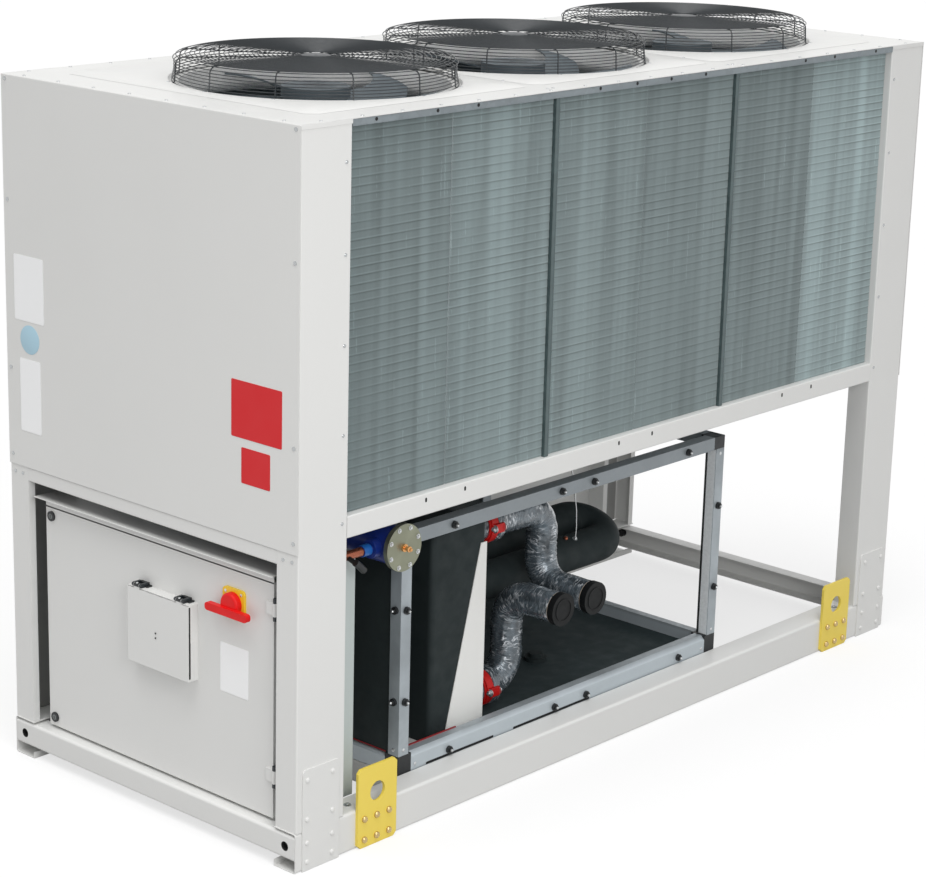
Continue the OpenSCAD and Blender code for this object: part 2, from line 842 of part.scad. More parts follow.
// Housing of the controller, open at the front
module controller_housing() {
    color(panel_colour) translate([ctrl_front, ctrl_y - ctrl_w / 2, ctrl_z]) difference() {
        cube([ctrl_d, ctrl_w, ctrl_h]);
        translate([-1, sheet_t, sheet_t])
            cube([ctrl_d - sheet_t + 1, ctrl_w - 2 * sheet_t, ctrl_h - 2 * sheet_t]);
    }
}

// Ears and pins that carry the flap
module controller_hinges() {
    ear_h = flap_lift + flap_knuckle_d / 2;
    ear_t = flap_ear_t - 2 * seat_gap;
    color(dark_colour) for (y = flap_hinge_y) translate([flap_axis_x, y, flap_axis_z]) {
        rotate([90, 0, 0]) cylinder(d = flap_pin_d, h = flap_knuckle_l + 2 * flap_ear_t, center = true);
        for (side = [-1, 1]) translate([0, side * (flap_knuckle_l + flap_ear_t) / 2, 0]) {
            rotate([90, 0, 0]) cylinder(d = flap_knuckle_d, h = ear_t, center = true);
            translate([0, -ear_t / 2, -flap_lift]) cube([flap_ear_l, ear_t, ear_h]);
        }
    }
}

// Flap in front of the controller, hung from its upper edge
module controller_flap() {
    front = flap_back - flap_t;
    color(panel_colour) difference() {
        union() {
            translate([front, ctrl_y - ctrl_w / 2, ctrl_z]) cube([flap_t, ctrl_w, flap_top - ctrl_z]);
            for (y = flap_hinge_y) {
                translate([flap_axis_x, y, flap_axis_z]) rotate([90, 0, 0])
                    cylinder(d = flap_knuckle_d, h = flap_knuckle_l, center = true);
                translate([front, y - flap_knuckle_l / 2, flap_top - flap_leaf])
                    cube([flap_t, flap_knuckle_l, flap_axis_z - flap_top + flap_leaf]);
            }
        }
        for (y = flap_hinge_y) translate([flap_axis_x, y, flap_axis_z]) rotate([90, 0, 0])
            cylinder(d = flap_pin_d + 2 * run_gap, h = flap_knuckle_l + 2, center = true);
    }
}

// Plate behind the main switch
module switch_plate() {
    color([0.95, 0.78, 0.1]) translate([door_x, switch_y, switch_z]) rotate([0, -90, 0]) difference() {
        linear_extrude(switch_t) round_rect(switch_s, switch_s, switch_r);
        translate([0, 0, -1]) cylinder(d = spindle_d + 2 * run_gap, h = switch_t + 2);
    }
}

// Red handle of the main switch: a domed base, a bar across it and the spindle
module switch_handle() {
    dome_h = handle_bar_t + dome_r / 2;
    dome_in = handle_dome_d / 2 - dome_r;
    base_x = door_x - switch_t - seat_gap;
    color([0.85, 0.1, 0.1]) translate([base_x, switch_y, switch_z]) rotate([0, -90, 0]) {
        rotate_extrude() {
            square([dome_in, dome_h]);
            square([dome_in + dome_r, dome_h - dome_r]);
            translate([dome_in, dome_h - dome_r]) intersection() {
                circle(dome_r);
                square(dome_r);
            }
        }
        translate([-handle_drop, 0, handle_d - handle_bar_t]) linear_extrude(handle_bar_t)
            round_rect(handle_w, handle_l, handle_r);
        translate([0, 0, -switch_t]) cylinder(d = spindle_d, h = switch_t + dome_r);
    }
}

// Copies its children to the left and right ends of the enclosure
module enclosure_ends() {
    children();
    translate([2 * enc_mid, 0, 0]) mirror([1, 0, 0]) children();
}

// Section of an upright or a top bar
module bar_section() {
    square(enc_bar);
}

// Section of a bottom bar, bevelled outside
module sill_section() {
    polygon([[0, 0], [enc_bar, 0], [enc_bar, sill_h], [sill_bevel, sill_h], [0, sill_h - sill_bevel]]);
}

module enclosure_bars() {
    long_l = enc_l - 2 * block_w;
    cross_l = enc_y1 - enc_y0 - 2 * block_w;
    top_z = enc_z1 - enc_bar;
    color(bar_colour) {
        front_and_rear() enclosure_ends() translate([enc_x0, enc_y0, enc_z0 + sill_h])
            linear_extrude(enc_h - sill_h - enc_bar) bar_section();
        front_and_rear() {
            translate([enc_mid, enc_y0, enc_z0]) along_x(long_l) sill_section();
            translate([enc_mid, enc_y0, top_z]) along_x(long_l) bar_section();
        }
        enclosure_ends() {
            translate([enc_x0, 0, enc_z0]) along_y(cross_l) sill_section();
            translate([enc_x0, 0, top_z]) along_y(cross_l) bar_section();
        }
    }
}

// Corner blocks at the foot and at the top of the uprights
module enclosure_corners() {
    color(dark_colour) front_and_rear() enclosure_ends() translate([enc_x0, enc_y0, 0]) {
        translate([0, 0, enc_z0]) cube([block_w, block_w, sill_h]);
        translate([0, 0, enc_z1 - enc_bar]) cube([block_w, block_w, enc_bar]);
    }
}

// Knob that holds a cover panel, standing on the origin along -Y
module knob() {
    rotate([90, 0, 0]) rotate_extrude() {
        square([knob_d / 2, knob_h * 0.6]);
        square([knob_d / 3, knob_h]);
    }
}

// Knobs on the front bars and on the outer sides of the front uprights
module enclosure_knobs() {
    color(dark_colour) {
        for (x = knob_xs, z = [enc_z0 + sill_knob_z, enc_z1 - enc_bar / 2])
            translate([enc_x0 + x, enc_y0, z]) knob();
        for (z = [enc_z0 + knob_low, enc_z0 + knob_high]) enclosure_ends() {
            translate([enc_x0 + enc_bar / 2, enc_y0, z]) knob();
            translate([enc_x0, enc_y0 + enc_bar / 2, z]) rotate([0, 0, -90]) knob();
        }
    }
}

// Insulated wall between the bars of the left end
module enclosure_end_wall() {
    color(dark_colour) translate([enc_x0 + wall_set, enc_y0 + enc_bar, enc_z0 + sill_h])
        cube([wall_t, enc_y1 - enc_y0 - 2 * enc_bar, enc_h - sill_h - enc_bar]);
}

// Insulated wall between the rear bars
module enclosure_rear_wall() {
    color(dark_colour) translate([enc_x0 + enc_bar, enc_y1 - wall_set - wall_t, enc_z0 + sill_h])
        cube([enc_l - 2 * enc_bar, wall_t, enc_h - sill_h - enc_bar]);
}

// Outline of the floor between the bottom bars, notched for the corner blocks
module floor_outline() {
    enc_d = enc_y1 - enc_y0;
    translate([enc_mid, 0]) {
        square([enc_l - 2 * enc_bar, enc_d - 2 * block_w], center = true);
        square([enc_l - 2 * block_w, enc_d - 2 * enc_bar], center = true);
    }
}

module enclosure_floor() {
    color(panel_colour) translate([0, 0, enc_z0]) linear_extrude(floor_t) floor_outline();
}

// Mat on the floor, to the right of the heat exchanger
module enclosure_mat() {
    color(dark_colour) translate([0, 0, floor_z]) linear_extrude(mat_t) intersection() {
        floor_outline();
        translate([hx_x1 + mat_gap, enc_y0]) square([enc_x1 - hx_x1, enc_y1 - enc_y0]);
    }
}

// Round rubber mount on the mat
module rubber_mount() {
    color(dark_colour) translate([hx_x1 + mount_set_x, port_y + mount_set_y, mat_z]) {
        cylinder(d = mount_d, h = mount_h / 2);
        cylinder(d = mount_d * 0.6, h = mount_h);
    }
}

// Insulated plate heat exchanger
module heat_exchanger() {
    color([0.1, 0.11, 0.11]) translate([hx_x + hx_l / 2, hx_y0 + hx_d / 2, floor_z])
        linear_extrude(hx_h) round_rect(hx_l, hx_d, hx_r);
}

// Tapered sheet in front of the heat exchanger, with a foot on the floor
module exchanger_bracket() {
    foot_x = hx_x + bracket_set;
    color([0.86, 0.85, 0.83]) translate([foot_x, hx_y0, floor_z]) {
        translate([0, -sheet_t / 2, 0]) along_y(sheet_t)
            polygon([[0, 0], [bracket_w, 0], [bracket_w, bracket_h],
                [bracket_w - bracket_top_w, bracket_h]]);
        translate([bracket_w / 2, -bracket_foot, 0]) cube([bracket_w / 2, bracket_foot, sheet_t]);
    }
}

// Grooved couplings on the two ports, each with two bolt lugs
module pipe_couplings() {
    rim = coupling_d / 2;
    hub = rim - coupling_step;
    color([0.75, 0.12, 0.08]) for (z = [port_low_z, port_high_z])
        translate([hx_x1 + stub_l, port_y, z]) {
            rotate([0, 90, 0]) rotate_extrude()
                polygon([[0, 0], [hub, 0], [hub, coupling_step], [rim, coupling_step],
                    [rim, coupling_l - coupling_step], [hub, coupling_l - coupling_step], [hub, coupling_l],
                    [0, coupling_l]]);
            for (side = [-1, 1]) translate([coupling_l / 2, side * rim, 0])
                cube([lug_l, lug_w, lug_h], center = true);
        }
}

// Straight length of water pipe along +Z
module pipe_run(length) {
    cylinder(d = pipe_d, h = length);
}

// Quarter bend that leaves the origin along +Z and turns towards +X
module pipe_bend(r, d = pipe_d) {
    translate([r, 0, 0]) rotate([90, 0, 0]) rotate([0, 0, 90]) rotate_extrude(angle = 90)
        translate([r, 0]) circle(d = d);
}

// Pipe from the lower port: up and then forward
module lower_water_pipe() {
    rise_z = port_low_z + low_bend_r;
    color(wrap_colour) {
        translate([hx_x1, port_y, port_low_z]) rotate([0, 90, 0]) cylinder(d = pipe_d, h = stub_l);
        translate([coupling_x1, port_y, port_low_z]) rotate([0, 90, 0]) rotate([0, 0, 180])
            pipe_bend(low_bend_r);
        translate([pipe_low_x, port_y, rise_z]) pipe_run(pipe_end_z - pipe_bend_r - rise_z);
        translate([pipe_low_x, port_y, pipe_end_z - pipe_bend_r]) rotate([0, 0, -90]) pipe_bend(pipe_bend_r);
        translate([pipe_low_x, port_y - pipe_bend_r, pipe_end_z]) rotate([90, 0, 0])
            pipe_run(port_y - pipe_bend_r - pipe_end_y - cap_l);
    }
}

// Pipe from the upper port: along, down and then forward
module upper_water_pipe() {
    turn_x = pipe_high_x - pipe_bend_r;
    color(wrap_colour) {
        translate([hx_x1, port_y, port_high_z]) rotate([0, 90, 0]) cylinder(d = pipe_d, h = stub_l);
        translate([coupling_x1, port_y, port_high_z]) rotate([0, 90, 0]) pipe_run(turn_x - coupling_x1);
        translate([turn_x, port_y, port_high_z]) rotate([0, 90, 0]) pipe_bend(pipe_bend_r);
        translate([pipe_high_x, port_y, pipe_end_z + pipe_bend_r])
            pipe_run(port_high_z - pipe_end_z - 2 * pipe_bend_r);
        translate([pipe_high_x, port_y, pipe_end_z + pipe_bend_r]) rotate([0, 0, -90]) rotate([180, 0, 0])
            pipe_bend(pipe_bend_r);
        translate([pipe_high_x, port_y - pipe_bend_r, pipe_end_z]) rotate([90, 0, 0])
            pipe_run(port_y - pipe_bend_r - pipe_end_y - cap_l);
    }
}

// Caps on the open pipe ends, each with a ring on its face
module pipe_caps() {
    color(dark_colour) for (x = [pipe_low_x, pipe_high_x]) translate([x, pipe_end_y, pipe_end_z])
        rotate([-90, 0, 0]) {
            cylinder(d = pipe_d + 2 * cap_rim, h = cap_l);
            translate([0, 0, -cap_ridge_h]) rotate_extrude() translate([cap_ridge_r - cap_ridge_w, 0])
                square([cap_ridge_w, cap_ridge_h + 1]);
        }
}

// Insulated suction pipe: two runs from the heat exchanger with a tilted return bend
module suction_pipe() {
    turn_x = hx_x1 + suction_l;
    color(dark_colour) translate([turn_x, port_y + suction_set, suction_z]) rotate([suction_tilt, 0, 0]) {
        for (y = [0, 2 * suction_bend_r]) translate([0, y, 0]) rotate([0, -90, 0])
            cylinder(d = suction_d, h = suction_l);
        translate([0, suction_bend_r, 0]) rotate([0, 0, -90]) rotate_extrude(angle = 180)
            translate([suction_bend_r, 0]) circle(d = suction_d);
    }
}

// Filter drier: a round shell across the unit with a stepped side nozzle
module drier_shell() {
    color([0.1, 0.18, 0.43]) {
        translate([drier_x, drier_y0 + drier_flange_t, drier_z]) rotate([-90, 0, 0])
            cylinder(d = drier_d, h = drier_l);
        translate([drier_x, nozzle_y, drier_z]) rotate([0, -90, 0]) {
            cylinder(d = neck_d, h = neck_l);
            cylinder(d = nozzle_d, h = nozzle_l);
        }
    }
}

module drier_flange() {
    color([0.75, 0.72, 0.62]) translate([drier_x, drier_y0, drier_z]) rotate([-90, 0, 0])
        cylinder(d = drier_flange_d, h = drier_flange_t);
}

// Liquid line from the nozzle, turning up to the coil shelf
module liquid_line() {
    turn_x = drier_x - nozzle_l - line_run;
    riser_z = drier_z + line_bend_r;
    color([0.72, 0.45, 0.3]) {
        translate([turn_x, nozzle_y, drier_z]) rotate([0, 90, 0]) cylinder(d = line_d, h = line_run);
        translate([turn_x, nozzle_y, drier_z]) rotate([0, -90, 0]) pipe_bend(line_bend_r, line_d);
        translate([turn_x - line_bend_r, nozzle_y, riser_z])
            cylinder(d = line_d, h = coil_z0 - sheet_t - riser_z);
    }
}

base_rails();
base_beams();
corner_posts();
gusset_plates();
lifting_plates();
mid_rails();
end_rails();
end_panels();
rear_panel();
top_strips();
plenum_floor();
coil_front();
coil_rear();
coil_strips();
fan_deck_left();
fan_deck_middle();
fan_deck_right();
fan_bells();
fan_guard_left();
fan_guard_middle();
fan_guard_right();
fan_motors();
fan_rotor_left();
fan_rotor_middle();
fan_rotor_right();
cabinet_box();
cabinet_hood();
cabinet_hinges();
cabinet_door();
door_locks();
controller_housing();
controller_hinges();
controller_flap();
switch_plate();
switch_handle();
enclosure_bars();
enclosure_corners();
enclosure_knobs();
enclosure_end_wall();
enclosure_rear_wall();
enclosure_floor();
enclosure_mat();
rubber_mount();
heat_exchanger();
exchanger_bracket();
pipe_couplings();
lower_water_pipe();
upper_water_pipe();
pipe_caps();
suction_pipe();
drier_shell();
drier_flange();
liquid_line();
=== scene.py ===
"""Looks of the air cooled water chiller: finishes, fins, wire guards, wrapped pipes and small fittings."""
import json
import math

import bpy
from mathutils import Matrix, Vector, noise


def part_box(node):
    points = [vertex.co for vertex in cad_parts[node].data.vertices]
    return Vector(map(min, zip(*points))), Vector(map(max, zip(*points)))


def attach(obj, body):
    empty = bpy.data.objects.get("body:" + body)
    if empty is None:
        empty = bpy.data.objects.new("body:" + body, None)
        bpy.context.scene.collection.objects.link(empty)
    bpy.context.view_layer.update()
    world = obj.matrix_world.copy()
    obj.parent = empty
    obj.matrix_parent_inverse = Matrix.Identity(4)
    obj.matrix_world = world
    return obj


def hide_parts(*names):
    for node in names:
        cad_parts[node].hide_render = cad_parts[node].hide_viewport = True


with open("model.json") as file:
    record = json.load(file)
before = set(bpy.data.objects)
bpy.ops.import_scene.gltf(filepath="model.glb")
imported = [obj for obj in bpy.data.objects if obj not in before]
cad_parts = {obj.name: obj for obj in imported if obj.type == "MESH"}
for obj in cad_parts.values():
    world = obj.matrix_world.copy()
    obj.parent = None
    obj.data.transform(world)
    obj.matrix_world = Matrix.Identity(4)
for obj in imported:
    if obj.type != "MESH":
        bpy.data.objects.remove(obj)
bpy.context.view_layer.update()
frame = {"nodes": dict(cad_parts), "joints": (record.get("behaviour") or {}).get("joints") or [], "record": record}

# Camera, in pixels of the picture, millimetres of the sensor and metres
IMAGE_W = 926
FOCAL_PIXELS = 2546.64
SENSOR_W = 36.0
CAMERA_PLACE = Vector((-6.27402, -5.51887, 3.24487))
CAMERA_FORWARD = Vector((0.71587221, 0.64326397, -0.27154823))
CAMERA_UP = Vector((0.18450919, 0.20080578, 0.96209843))

# Light levels
SKY_LIGHT = 0.57
SKY_SEEN = 1.0
FLOOR_LIGHT = 0.46
FLOOR_SEEN = 0.3
FLOOR_GLOW = 0.68
SUN_ENERGY = 1.55
SUN_DEGREES = 40
SOFT_BOX_ENERGY = 100.0
SOFT_BOX_SIZE = 2.4

# Sizes in metres
SHEET = 0.003
FOLD = 0.01
FIN_PITCH = 0.004
FIN_DEPTH = 0.008
TUBE_ROW = 0.0254
SLAB_GAP = 0.003
WIRE_R = 0.0015
GUARD_PITCH = 0.0144
GUARD_SHOULDER = 0.022
GUARD_PLATE_R = 0.045
PLATFORM_GAP = 0.012
PLATFORM_END = 1.385
PLATFORM_DEPTH = 0.535
PIPE_D = 0.106
LOW_BEND_R = 0.096
PIPE_BEND_R = 0.092
BAR = 0.044
SWITCH_PLATE = 0.008
PANEL_SCREW_R = 0.0055
FLAT = 0.0003

# Directions
UP = (0, 0, 1)
LEFT = (-1, 0, 0)
FRONT = (0, -1, 0)

# Places taken from the frame
LOW = {name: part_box(name)[0] for name in frame["nodes"]}
HIGH = {name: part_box(name)[1] for name in frame["nodes"]}
FANS = [Vector(j["pos_m"]) for j in frame["joints"] if j["name"].startswith("fan_")]
SIDES = ("left", "middle", "right")
front_y = LOW["corner_posts"].y
left_x = LOW["end_panels"].x
right_x = HIGH["end_panels"].x
deck_z = HIGH["fan_deck_left"].z
deck_joint = FANS[2].x / 2
post_in = HIGH["mid_rails"].x
door_x = LOW["switch_plate"].x + SWITCH_PLATE
enc_low = LOW["enclosure_bars"]
enc_high = HIGH["enclosure_bars"]
drier_centre = (LOW["drier_flange"] + HIGH["drier_flange"]) / 2
PLATFORMS = {
    "left": (-PLATFORM_END, -deck_joint - PLATFORM_GAP),
    "middle": (-deck_joint + PLATFORM_GAP, deck_joint - PLATFORM_GAP),
    "right": (deck_joint + PLATFORM_GAP, PLATFORM_END),
}


def linear(colour):
    """Linear values of an sRGB colour given from 0 to 255."""
    shares = [c / 255 for c in colour]
    return tuple(s / 12.92 if s <= 0.04045 else ((s + 0.055) / 1.055) ** 2.4 for s in shares)


# Materials
class Look:
    """A Principled material that is built up from layers of noise."""

    def __init__(self, name, colour, roughness, metallic=0.0, **sockets):
        self.material = bpy.data.materials.new(name)
        self.material.use_nodes = True
        self.tree = self.material.node_tree
        self.shader = self.tree.nodes["Principled BSDF"]
        self.colour = linear(colour)
        self.shader.inputs["Base Color"].default_value = (*self.colour, 1)
        self.shader.inputs["Roughness"].default_value = roughness
        self.shader.inputs["Metallic"].default_value = metallic
        for key, value in sockets.items():
            self.shader.inputs[key.replace("_", " ")].default_value = value
        self.coords = self.node("ShaderNodeTexCoord").outputs["Object"]
        self.normal = None

    def node(self, kind, inputs=None, **settings):
        made = self.tree.nodes.new(kind)
        for key, value in settings.items():
            setattr(made, key, value)
        for key, value in (inputs or {}).items():
            if isinstance(value, bpy.types.NodeSocket):
                self.tree.links.new(value, made.inputs[key])
            else:
                made.inputs[key].default_value = value
        return made

    def along(self, axis):
        """Distance along one axis of the frame."""
        return self.node("ShaderNodeSeparateXYZ", {"Vector": self.coords}).outputs[axis]

    def noise(self, scale, stretch=(1, 1, 1), detail=2.0, coords=None):
        mapping = {"Vector": coords or self.coords, "Scale": stretch}
        place = self.node("ShaderNodeMapping", mapping).outputs["Vector"]
        inputs = {"Vector": place, "Scale": scale, "Detail": detail}
        return self.node("ShaderNodeTexNoise", inputs).outputs["Fac"]

    def cells(self, scale):
        inputs = {"Vector": self.coords, "Scale": scale}
        return self.node("ShaderNodeTexVoronoi", inputs).outputs["Color"]

    def math(self, operation, first, second=0.0):
        return self.node("ShaderNodeMath", {0: first, 1: second}, operation=operation).outputs["Value"]

    def vector(self, operation, first, second=(0, 0, 0)):
        return self.node("ShaderNodeVectorMath", {0: first, 1: second}, operation=operation).outputs

    def apart(self, value, centre):
        """How far a value lies from a centre, either way."""
        return self.math("ABSOLUTE", self.math("SUBTRACT", value, centre))

    def spread(self, value, low, high, to_low, to_high):
        inputs = {"Value": value, "From Min": low, "From Max": high, "To Min": to_low, "To Max": to_high}
        return self.node("ShaderNodeMapRange", inputs).outputs["Result"]

    def mix(self, share, first, second):
        made = self.node("ShaderNodeMix", data_type="RGBA")
        for socket, value in ((made.inputs[0], share), (made.inputs[6], first), (made.inputs[7], second)):
            if isinstance(value, bpy.types.NodeSocket):
                self.tree.links.new(value, socket)
            else:
                socket.default_value = (*value, 1)
        return made.outputs[2]

    def shade(self, factor):
        return tuple(min(c * factor, 1.0) for c in self.colour)

    def vary(self, share, dark, light):
        """Base colour between two brightness factors of the look's own colour."""
        self.paint(self.mix(share, self.shade(dark), self.shade(light)))

    def tint(self, share, factor):
        """Brings the base colour towards a brightness factor of the look's own colour."""
        self.paint(self.mix(share, self.base(), self.shade(factor)))

    def paint(self, colour):
        self.tree.links.new(colour, self.shader.inputs["Base Color"])

    def base(self):
        links = self.shader.inputs["Base Color"].links
        return links[0].from_socket if links else self.colour

    def rough(self, share, low, high):
        self.tree.links.new(self.spread(share, 0.3, 0.7, low, high), self.shader.inputs["Roughness"])

    def bump(self, height, strength, distance):
        inputs = {"Height": height, "Strength": strength, "Distance": distance}
        if self.normal:
            inputs["Normal"] = self.normal
        self.normal = self.node("ShaderNodeBump", inputs).outputs["Normal"]
        self.tree.links.new(self.normal, self.shader.inputs["Normal"])

    def edges(self, radius, factor):
        """Rounds the sharp edges for the light and tints them by the factor: painted highlight above one, painted
        shade below.
        """
        soft = self.node("ShaderNodeBevel", {"Radius": radius}, samples=4).outputs["Normal"]
        flat = self.node("ShaderNodeNewGeometry").outputs["Normal"]
        turn = self.vector("DOT_PRODUCT", soft, flat)["Value"]
        self.tint(self.spread(turn, 0.99, 0.75, 0.0, 1.0), factor)
        self.normal = soft
        self.tree.links.new(soft, self.shader.inputs["Normal"])


def powder_coat(name, colour, roughness=0.42):
    """Satin paint with a fine grain on sheets that are slightly uneven."""
    look = Look(name, colour, roughness)
    look.vary(look.noise(1.7, detail=3.0), 0.975, 1.015)
    # painted highlight on the edges
    look.edges(0.002, 1.08)
    look.rough(look.noise(9.0), roughness - 0.05, roughness + 0.06)
    look.bump(look.noise(420.0), 0.05, 0.0006)
    look.bump(look.noise(5.0), 0.05, 0.004)
    return look


def recess_shade_paint(name, colour):
    """Grey paint with painted shade, darker towards the back of the recess over the cabinet."""
    look = powder_coat(name, colour)
    lip = LOW["cabinet_hood"].x
    # painted shade in the recess under the end rail, from the hood's lip inwards
    look.tint(look.spread(look.along("X"), lip + 0.001, lip + 0.03, 0.0, 0.85), 0.3)
    return look


def post_shade_paint(name, colour):
    """Grey paint with painted shade on the flat inner side of the posts' outer walls."""
    look = powder_coat(name, colour)
    middle = (post_in + HIGH["corner_posts"].x) / 2
    flat = HIGH["corner_posts"].x - middle - FOLD
    depth = look.apart(look.math("ABSOLUTE", look.along("Y")), -front_y - SHEET)
    aside = look.apart(look.math("ABSOLUTE", look.along("X")), middle)
    inner = look.spread(depth, 0.0004, 0.0008, 0.75, 0.0)
    between = look.spread(aside, flat - 0.001, flat, 1.0, 0.0)
    # painted shade on the inner side of the outer walls
    look.tint(look.math("MULTIPLY", inner, between), 0.3)
    return look


def galvanised(name, colour, metallic=0.75):
    """Zinc coated sheet with spangles and faint streaks."""
    look = Look(name, colour, 0.42, metallic)
    spangle = look.node("ShaderNodeRGBToBW", {"Color": look.cells(55.0)}).outputs["Val"]
    streak = look.noise(26.0, (0.25, 1, 1))
    look.vary(look.spread(spangle, 0.1, 0.9, 0.15, 0.85), 0.82, 1.16)
    look.tint(look.spread(streak, 0.35, 0.75, 0.0, 0.5), 0.72)
    look.rough(spangle, 0.34, 0.52)
    look.bump(look.noise(90.0), 0.06, 0.001)
    return look


def drawn_bar(name, colour):
    """Mottled bars of the enclosure, with a brighter sill, painted shade on the top bar and painted highlights on
    the edges.
    """
    look = Look(name, colour, 0.42, 0.3)
    height = look.along("Z")
    sill, top = enc_low.z + 0.05, enc_high.z - 0.05
    blend = 0.01
    look.vary(look.noise(16.0, (0.5, 1, 0.5), 4.0), 0.6, 1.3)
    look.tint(look.spread(look.noise(9.0, (0.5, 1, 1), 3.0), 0.5, 0.7, 0.0, 0.6), 0.7)
    look.tint(look.spread(height, sill, sill + blend, 0.75, 0.0), 1.45)
    # painted shade: the top bar darker under the mid rail
    look.tint(look.spread(height, top - blend, top, 0.0, 0.8), 0.6)
    look.edges(0.0015, 1.3)
    look.rough(look.noise(60.0), 0.32, 0.5)
    look.bump(look.noise(240.0, (0.2, 1, 0.2)), 0.08, 0.0005)
    return look


def fin_metal(name, colour, painted_light=1.0):
    """Thin fins with a line of painted shade and a line of painted highlight along each row of tubes, and painted
    highlights on bent fins.
    """
    look = Look(name, colour, 0.5, 0.2)
    # painted light and shade of one slab as a brightness factor
    look.colour = look.shade(painted_light)
    height = look.math("SUBTRACT", look.along("Z"), LOW["coil_front"].z)
    phase = look.math("FRACT", look.math("DIVIDE", height, TUBE_ROW))
    clear = look.spread(look.noise(1.0, (2.5, 1, 7.0)), 0.3, 0.65, 0.2, 0.85)
    groove_shade = look.spread(look.apart(phase, 0.1), 0.03, 0.1, 0.9, 0.0)
    ridge_highlight = look.spread(look.apart(phase, 0.3), 0.02, 0.1, 0.6, 0.0)
    bands = look.noise(1.0, (24, 1, 0.7), 3.0)
    columns = look.noise(1.0, (7.0, 1, 0.25), 1.0)
    bent_fin_highlight = look.noise(1.0, (150, 1, 5.0), 1.0)
    look.vary(look.spread(bands, 0.3, 0.7, 0.0, 1.0), 0.86, 1.1)
    look.tint(look.spread(columns, 0.57, 0.63, 0.0, 0.4), 1.25)
    # painted highlights on bent fins
    look.tint(look.spread(bent_fin_highlight, 0.69, 0.77, 0.0, 0.45), 1.5)
    # painted shade in the dip at each row of tubes and a painted highlight above it
    look.tint(look.math("MULTIPLY", groove_shade, clear), 0.58)
    look.tint(look.math("MULTIPLY", ridge_highlight, clear), 1.35)
    look.rough(bands, 0.42, 0.58)
    return look


def moulded(name, colour, roughness, **sockets):
    """Plastic, or thick paint on a casting, with a fine grain and painted highlights on the edges."""
    look = Look(name, colour, roughness, **sockets)
    look.vary(look.noise(22.0), 0.9, 1.1)
    look.edges(0.0015, 1.25)
    look.rough(look.noise(45.0), roughness - 0.06, roughness + 0.08)
    look.bump(look.noise(600.0), 0.08, 0.0005)
    return look


def foam(name, colour):
    """Closed cell foam with a dull skin."""
    look = Look(name, colour, 0.72, Specular_IOR_Level=0.3)
    look.vary(look.noise(6.0, detail=4.0), 0.72, 1.3)
    look.rough(look.noise(20.0), 0.6, 0.82)
    look.bump(look.noise(420.0, detail=3.0), 0.16, 0.001)
    look.bump(look.noise(14.0), 0.14, 0.006)
    return look


def wire_coat(name, colour):
    """Smooth coat on the wires of the guards."""
    look = Look(name, colour, 0.4, Specular_IOR_Level=0.55)
    look.vary(look.noise(30.0), 0.75, 1.25)
    look.rough(look.noise(80.0), 0.34, 0.48)
    return look


def film_wrap(name, colour):
    """Dark insulation under a wrinkled shiny film, with painted highlights along its folds."""
    look = Look(name, colour, 0.26, 0.35, Coat_Weight=0.7, Coat_Roughness=0.12)
    film = look.node("ShaderNodeAttribute", attribute_name="film").outputs["Vector"]
    drift = look.spread(look.noise(1.0, (8, 0.9, 0.9), 2.0, film), 0.25, 0.75, -0.012, 0.012)
    shift = look.node("ShaderNodeCombineXYZ", {"X": drift}).outputs["Vector"]
    film = look.vector("ADD", film, shift)["Vector"]
    fold = look.noise(1.0, (62, 1.1, 1.1), 3.0, film)
    crease = look.noise(1.0, (190, 3.2, 3.2), 2.0, film)
    cloud = look.noise(1.0, (12, 1.6, 1.6), 3.0, film)
    patch = look.noise(1.0, (17, 1.5, 1.5), 2.0, film)
    look.vary(look.spread(cloud, 0.3, 0.7, 0.0, 1.0), 0.35, 1.25)
    line = look.spread(look.apart(fold, 0.52), 0.005, 0.045, 0.95, 0.0)
    fold_highlight = look.math("MULTIPLY", line, look.spread(patch, 0.45, 0.62, 0.1, 1.0))
    # painted highlight: pale lines along the film's folds
    look.paint(look.mix(fold_highlight, look.base(), linear((228, 233, 238))))
    look.rough(crease, 0.16, 0.36)
    look.bump(fold, 0.5, 0.006)
    look.bump(crease, 0.35, 0.002)
    return look


def plain_metal(name, colour, roughness, metallic=0.9):
    """Bare or plated metal of small fittings."""
    look = Look(name, colour, roughness, metallic)
    look.vary(look.noise(120.0), 0.85, 1.12)
    look.rough(look.noise(160.0), roughness - 0.08, roughness + 0.1)
    return look


def turned_metal(name, colour, centre):
    """Zinc plated disc that was turned round the Y axis through a centre."""
    look = Look(name, colour, 0.36, 0.9, Anisotropic=0.85)
    offset = look.vector("SUBTRACT", look.coords, tuple(centre))["Vector"]
    flat = look.vector("MULTIPLY", offset, (1, 0, 1))["Vector"]
    rings = {"W": look.vector("LENGTH", flat)["Value"], "Scale": 900.0}
    height = look.node("ShaderNodeTexNoise", rings, noise_dimensions="1D").outputs["Fac"]
    round_about = look.node("ShaderNodeTangent", direction_type="RADIAL", axis="Y").outputs["Tangent"]
    look.tree.links.new(round_about, look.shader.inputs["Tangent"])
    look.vary(look.noise(16.0, detail=3.0), 0.85, 1.12)
    look.bump(height, 0.12, 0.0006)
    return look


